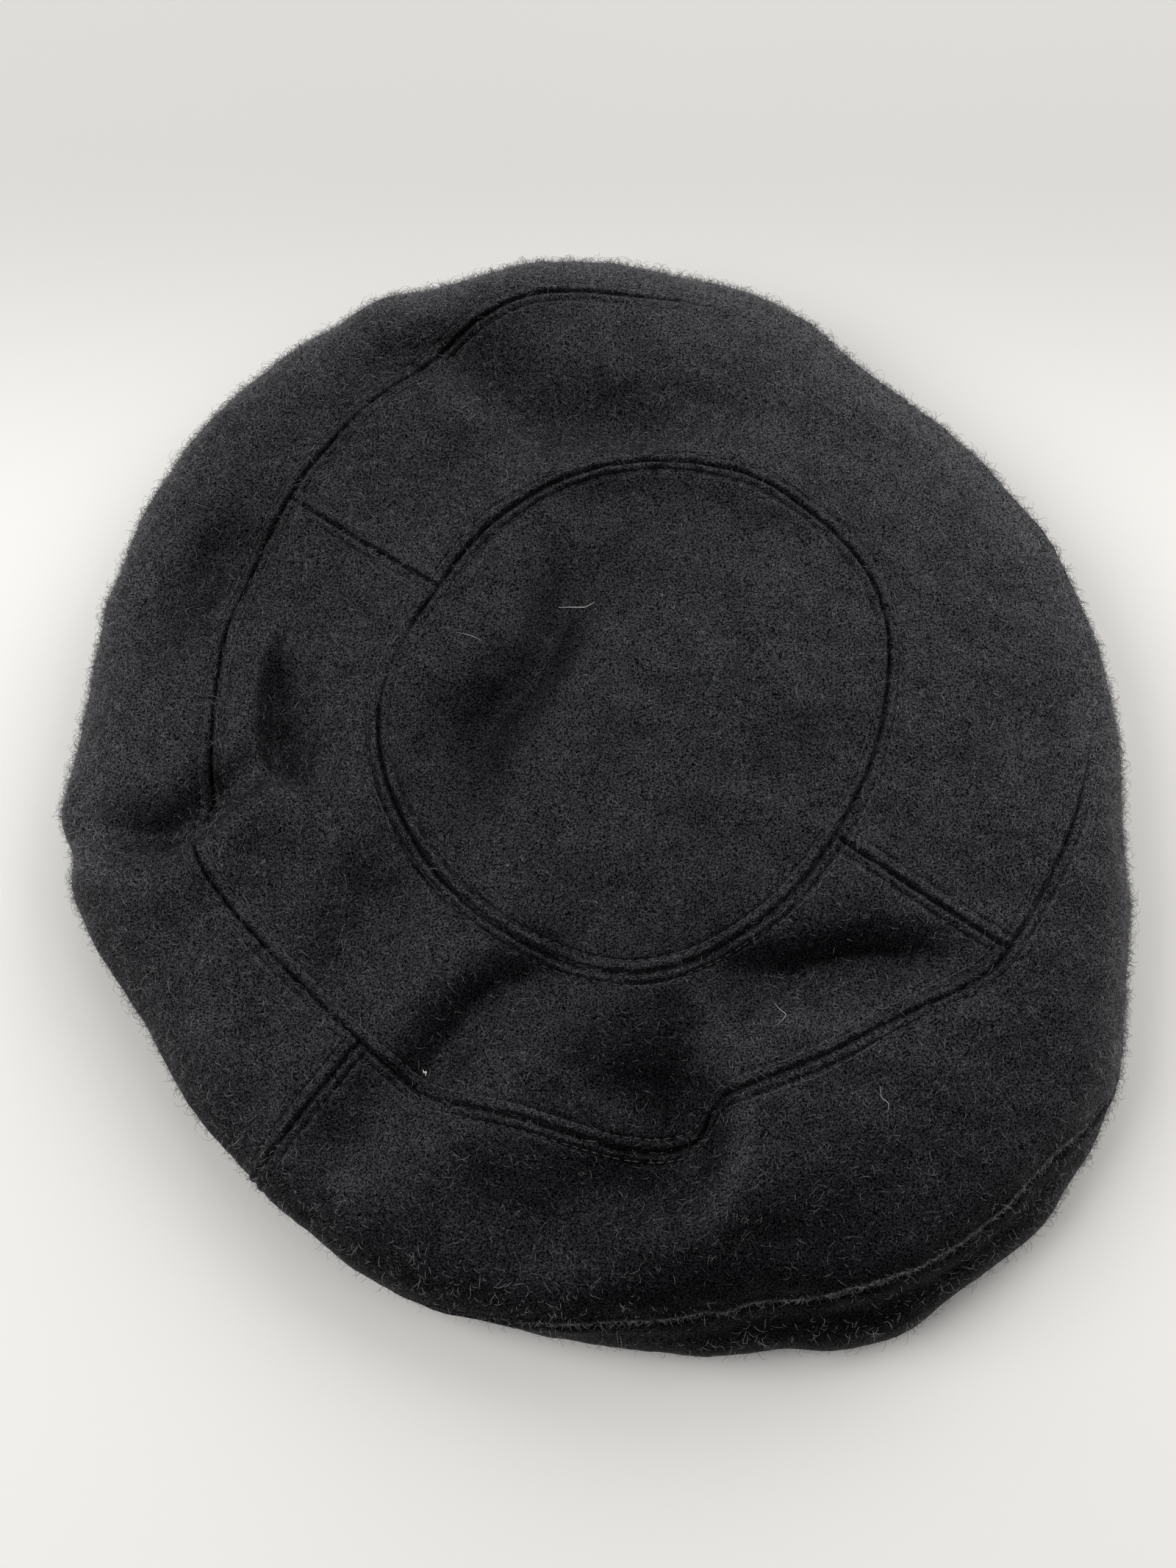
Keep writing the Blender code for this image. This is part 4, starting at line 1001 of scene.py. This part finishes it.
under_near = 3 + NEAR_SEAM / UNDER_RING_WIDTH
rows = {
    "inner": ring_rows(1, 2, INNER_RING_WIDTH),
    "outer": ring_rows(2, 3, OUTER_RING_WIDTH),
    "under": np.concatenate([under_near, np.linspace(under_near[-1], 4, UNDER_ROWS)[1:]]),
    "lining_crown": np.linspace(1, 3, LINING_ROWS[0]),
    "lining_under": 3 + np.linspace(0, 1, LINING_ROWS[1]) ** 1.5,
}
shell = [fit(tip("tip_panel", TIP_CELLS, 0, CLOTH, wool), "wool", "tip_disc")]
for ring, side, join in (
    ("inner", "front", INNER_SEAM), ("inner", "back", INNER_SEAM + 180),
    ("outer", "right", OUTER_SEAM), ("outer", "left", OUTER_SEAM + 180),
    ("under", "back", UNDER_SEAM), ("under", "front", UNDER_SEAM + 180),
):
    panel = half_ring(f"{ring}_panel_{side}", join, rows[ring], 0, CLOTH, wool)
    shell.append(fit(panel, "wool", f"{ring}_ring_{side}"))

inside = CLOTH + LAYER_GAP
fit(tip("lining_tip_panel", LINING_CELLS, inside, LINING, satin), "lining", "lining_tip")
for ring, side, join in (
    ("lining_crown", "front", INNER_SEAM), ("lining_crown", "back", INNER_SEAM + 180),
    ("lining_under", "back", UNDER_SEAM), ("lining_under", "front", UNDER_SEAM + 180),
):
    node = f"{ring}_{side}"
    fit(half_ring(node + "_panel", join, rows[ring], inside, LINING, satin), "lining", node)

section = rounded_section(HEADBAND_CLOTH, 0, HEADBAND_HEIGHT, *BAND_SECTION)
fit(standing_band("headband_cloth", 0, section, BAND_COLUMNS, headband_relief, wool), "wool", "headband")
section = rounded_section(SWEATBAND, SWEATBAND_LIFT, HEADBAND_HEIGHT - RIBBON_DROP, *RIBBON_SECTION)
inset = HEADBAND_CLOTH + LAYER_GAP
sweatband = standing_band("sweatband_ribbon", inset, section, RIBBON_COLUMNS, ribbon_relief, ribbon)
fit(sweatband, "ribbon", "sweatband")

# the topstitching, a row on each side of every seam of the top
turns = np.arange(0, 360.01, 0.12)
widths = tip_seam_radius(turns), inner_ring_width(turns), outer_ring_width(turns)
stitches = []
for side in (-1, 1):
    for seam in (1, 2):
        width = widths[seam if side > 0 else seam - 1]
        stitches.append(stitch_row(turns + STITCH_START, seam + side * FURROW[1] / width))
    for join, first, last in (
        (INNER_SEAM, 1.06, 1.94), (INNER_SEAM + 180, 1.06, 1.94),
        (OUTER_SEAM, 2.05, 2.96), (OUTER_SEAM + 180, 2.75, 2.9),
    ):
        reach = np.linspace(first, last, JOIN_PLACES)
        angle = np.full_like(reach, join)
        radius = np.hypot(*surface(angle, reach)[:, :2].T)
        stitches.append(stitch_row(angle + side * np.degrees(FURROW[1] / radius), reach))
stitches = np.concatenate(stitches)
fit(tubes("topstitching", stitches, THREAD_RADIUS * THREAD_TAPER, 6, [thread]), "wool")

# fibres that stand out of the wool, and the halo along the rim, where the nap is seen from the side
greys = [fibre_material("fibre_" + name, colour) for name, colour in (
    ("dark", (0.01, 0.01, 0.011)), ("mid", (0.06, 0.06, 0.064)), ("light", (0.24, 0.24, 0.25)))]
# the fuzz is real, and is thinned in front as painted shade
for number in range(5):
    fibres(f"fuzz_{number}", scatter(shell, FUZZ_COUNT, fewer_fibres_in_shade), (4, 0.33, 0.4, 3.5), (0.1, 0.6),
           FIBRE, greys, (0.3, 0.4, 0.3))
# the halo's pale fibres are fuzz, and partly a painted highlight along the rim
for number in range(3):
    fibres(f"halo_{number}", scatter(shell, FUZZ_COUNT, rim_weight), (5, 0.3, 0.6, 3), (0.4, 1.5),
           HALO_RADIUS * FIBRE, greys, (0, 0.3, 0.7))

# pale curls that lie on the wool, fewer in front as painted shade; and pale fibres along the front crest,
# fuzz and a painted highlight
fibres("curls", scatter(shell, CURL_COUNT, fewer_fibres_in_shade), (4, 0.33, 0.5, 3.2), (0.15, 0.5),
       CURL, [fibre_material("fibre_curl", (0.20, 0.20, 0.205))], bend=1.0)
crest_fringe_places = dressed(chance.uniform(259, 317, FRINGE_COUNT), 3 - chance.uniform(0, 0.025, FRINGE_COUNT))
fibres("edge_fringe", crest_fringe_places, (4, 0.3, 0.5, 3), (0.3, 0.9), FIBRE, greys[1:])

# a few stray hairs and a bit of lint: name, radius in millimetres and places of (angle, reach)
pale = fibre_material("fibre_pale", (0.5, 0.5, 0.49))
for name, radius, stations in (
    ("hair_long", 0.10, (
        (124, 0.556), (121, 0.53), (119, 0.511), (115, 0.475), (112, 0.468), (109.5, 0.466))),
    ("hair_short", 0.05, ((155.5, 0.816), (155, 0.78), (154.8, 0.74), (154.9, 0.705))),
    ("hair_curl", 0.06, ((293, 1.687), (295, 1.65), (294.7, 1.60), (294.4, 1.53))),
    ("hair_bent", 0.06, ((301.6, 2.22), (301, 2.26), (301.3, 2.30), (300.6, 2.33))),
    ("lint", 0.22, ((239.5, 1.89), (239.8, 1.90), (240, 1.89), (240.2, 1.91))),
):
    points, out = dressed(*smooth_line(stations, HAIR_STEPS))
    width = radius * MM * np.sin(np.linspace(HAIR_END, math.pi - HAIR_END, HAIR_STEPS))
    fit(tubes(name, (points + out * (radius * MM + HAIR_LIFT))[None], width, 6, [pale]), "wool")

# ---- floor, light and camera ------------------------------
FLOOR_RADIUS = 0.9  # as far as the lamps light it evenly
FLOOR_FADE = (0.05, 0.21)  # painted shade: the floor darkens between these distances behind the middle
FLOOR_BACK_SHADE = 0.70  # the tone of that painted shade there
LAMP_DISTANCE = 1.6
LAMP_SIZE = 1.3
CAMERA_ELEVATION = 75
CAMERA_DISTANCE = 0.48
CAMERA_TARGET = Vector((-0.0015, -0.008, 0.03))
FOCAL_LENGTH = 41.350211  # in millimetres, for a sensor whose longer side is 36


def towards(azimuth, elevation):
    """Unit vector from the beret to where a lamp or the camera stands."""
    turn, above = math.radians(azimuth), math.radians(elevation)
    return Vector((math.cos(turn) * math.cos(above), math.sin(turn) * math.cos(above), math.sin(above)))


def stand(name, data, target, way, distance):
    """Puts a lamp or the camera in the scene, looking at the target."""
    item = bpy.data.objects.new(name, data)
    item.location = target + way * distance
    item.rotation_euler = way.to_track_quat("Z", "Y").to_euler()
    bpy.context.scene.collection.objects.link(item)
    return item


def soft_light(name, azimuth, elevation, share, colour):
    """A wide lamp towards the crown; the share is what it gives a white floor."""
    way = towards(azimuth, elevation)
    lamp = bpy.data.lights.new(name, "AREA")
    lamp.shape = "DISK"
    lamp.size, lamp.color = LAMP_SIZE, colour
    lamp.energy = share * (math.pi * LAMP_DISTANCE) ** 2 / way.z
    stand(name, lamp, Vector(), way, LAMP_DISTANCE)


def sky(light, seen):
    """An even sky that lights the beret a little and is plain grey where the camera sees it."""
    world = bpy.data.worlds.new("world")
    bpy.context.scene.world = world
    world.use_nodes = True
    tree = world.node_tree
    tree.nodes.clear()
    either = tree.nodes.new("ShaderNodeMixShader")
    tree.links.new(tree.nodes.new("ShaderNodeLightPath").outputs["Is Camera Ray"], either.inputs["Fac"])
    for i, colour in enumerate((light, seen)):
        background = tree.nodes.new("ShaderNodeBackground")
        background.inputs["Color"].default_value = (*colour, 1)
        tree.links.new(background.outputs[0], either.inputs[i + 1])
    tree.links.new(either.outputs[0], tree.nodes.new("ShaderNodeOutputWorld").inputs["Surface"])


turns = np.radians(np.arange(0, 360, 3))
disc = np.stack([FLOOR_RADIUS * np.cos(turns), FLOOR_RADIUS * np.sin(turns), 0 * turns], -1)
floor = mesh_object("floor", disc, [list(range(len(disc)))], [floor_material()])

for lamp in (
    ("window_back", 90, 30, 0.22, (1.0, 0.99, 0.97)),
    ("window_right", 45, 30, 0.28, (1.0, 0.985, 0.96)),
    ("wall_left", 180, 45, 0.55, (1.0, 0.99, 0.97)),
    ("wall_right", 0, 45, 0.17, (1.0, 0.98, 0.95)),
    ("ceiling", 90, 75, 0.10, (1.0, 0.99, 0.98)),
):
    soft_light(*lamp)
sky((0.02, 0.02, 0.025), (0.78, 0.775, 0.765))

way = towards(270, CAMERA_ELEVATION)
camera = stand("camera", bpy.data.cameras.new("camera"), CAMERA_TARGET, way, CAMERA_DISTANCE)
camera.data.sensor_width, camera.data.lens = 36, FOCAL_LENGTH
camera.data.clip_start, camera.data.clip_end = 0.01, 20
bpy.context.scene.camera = camera
bpy.context.scene.view_settings.view_transform = "Standard"
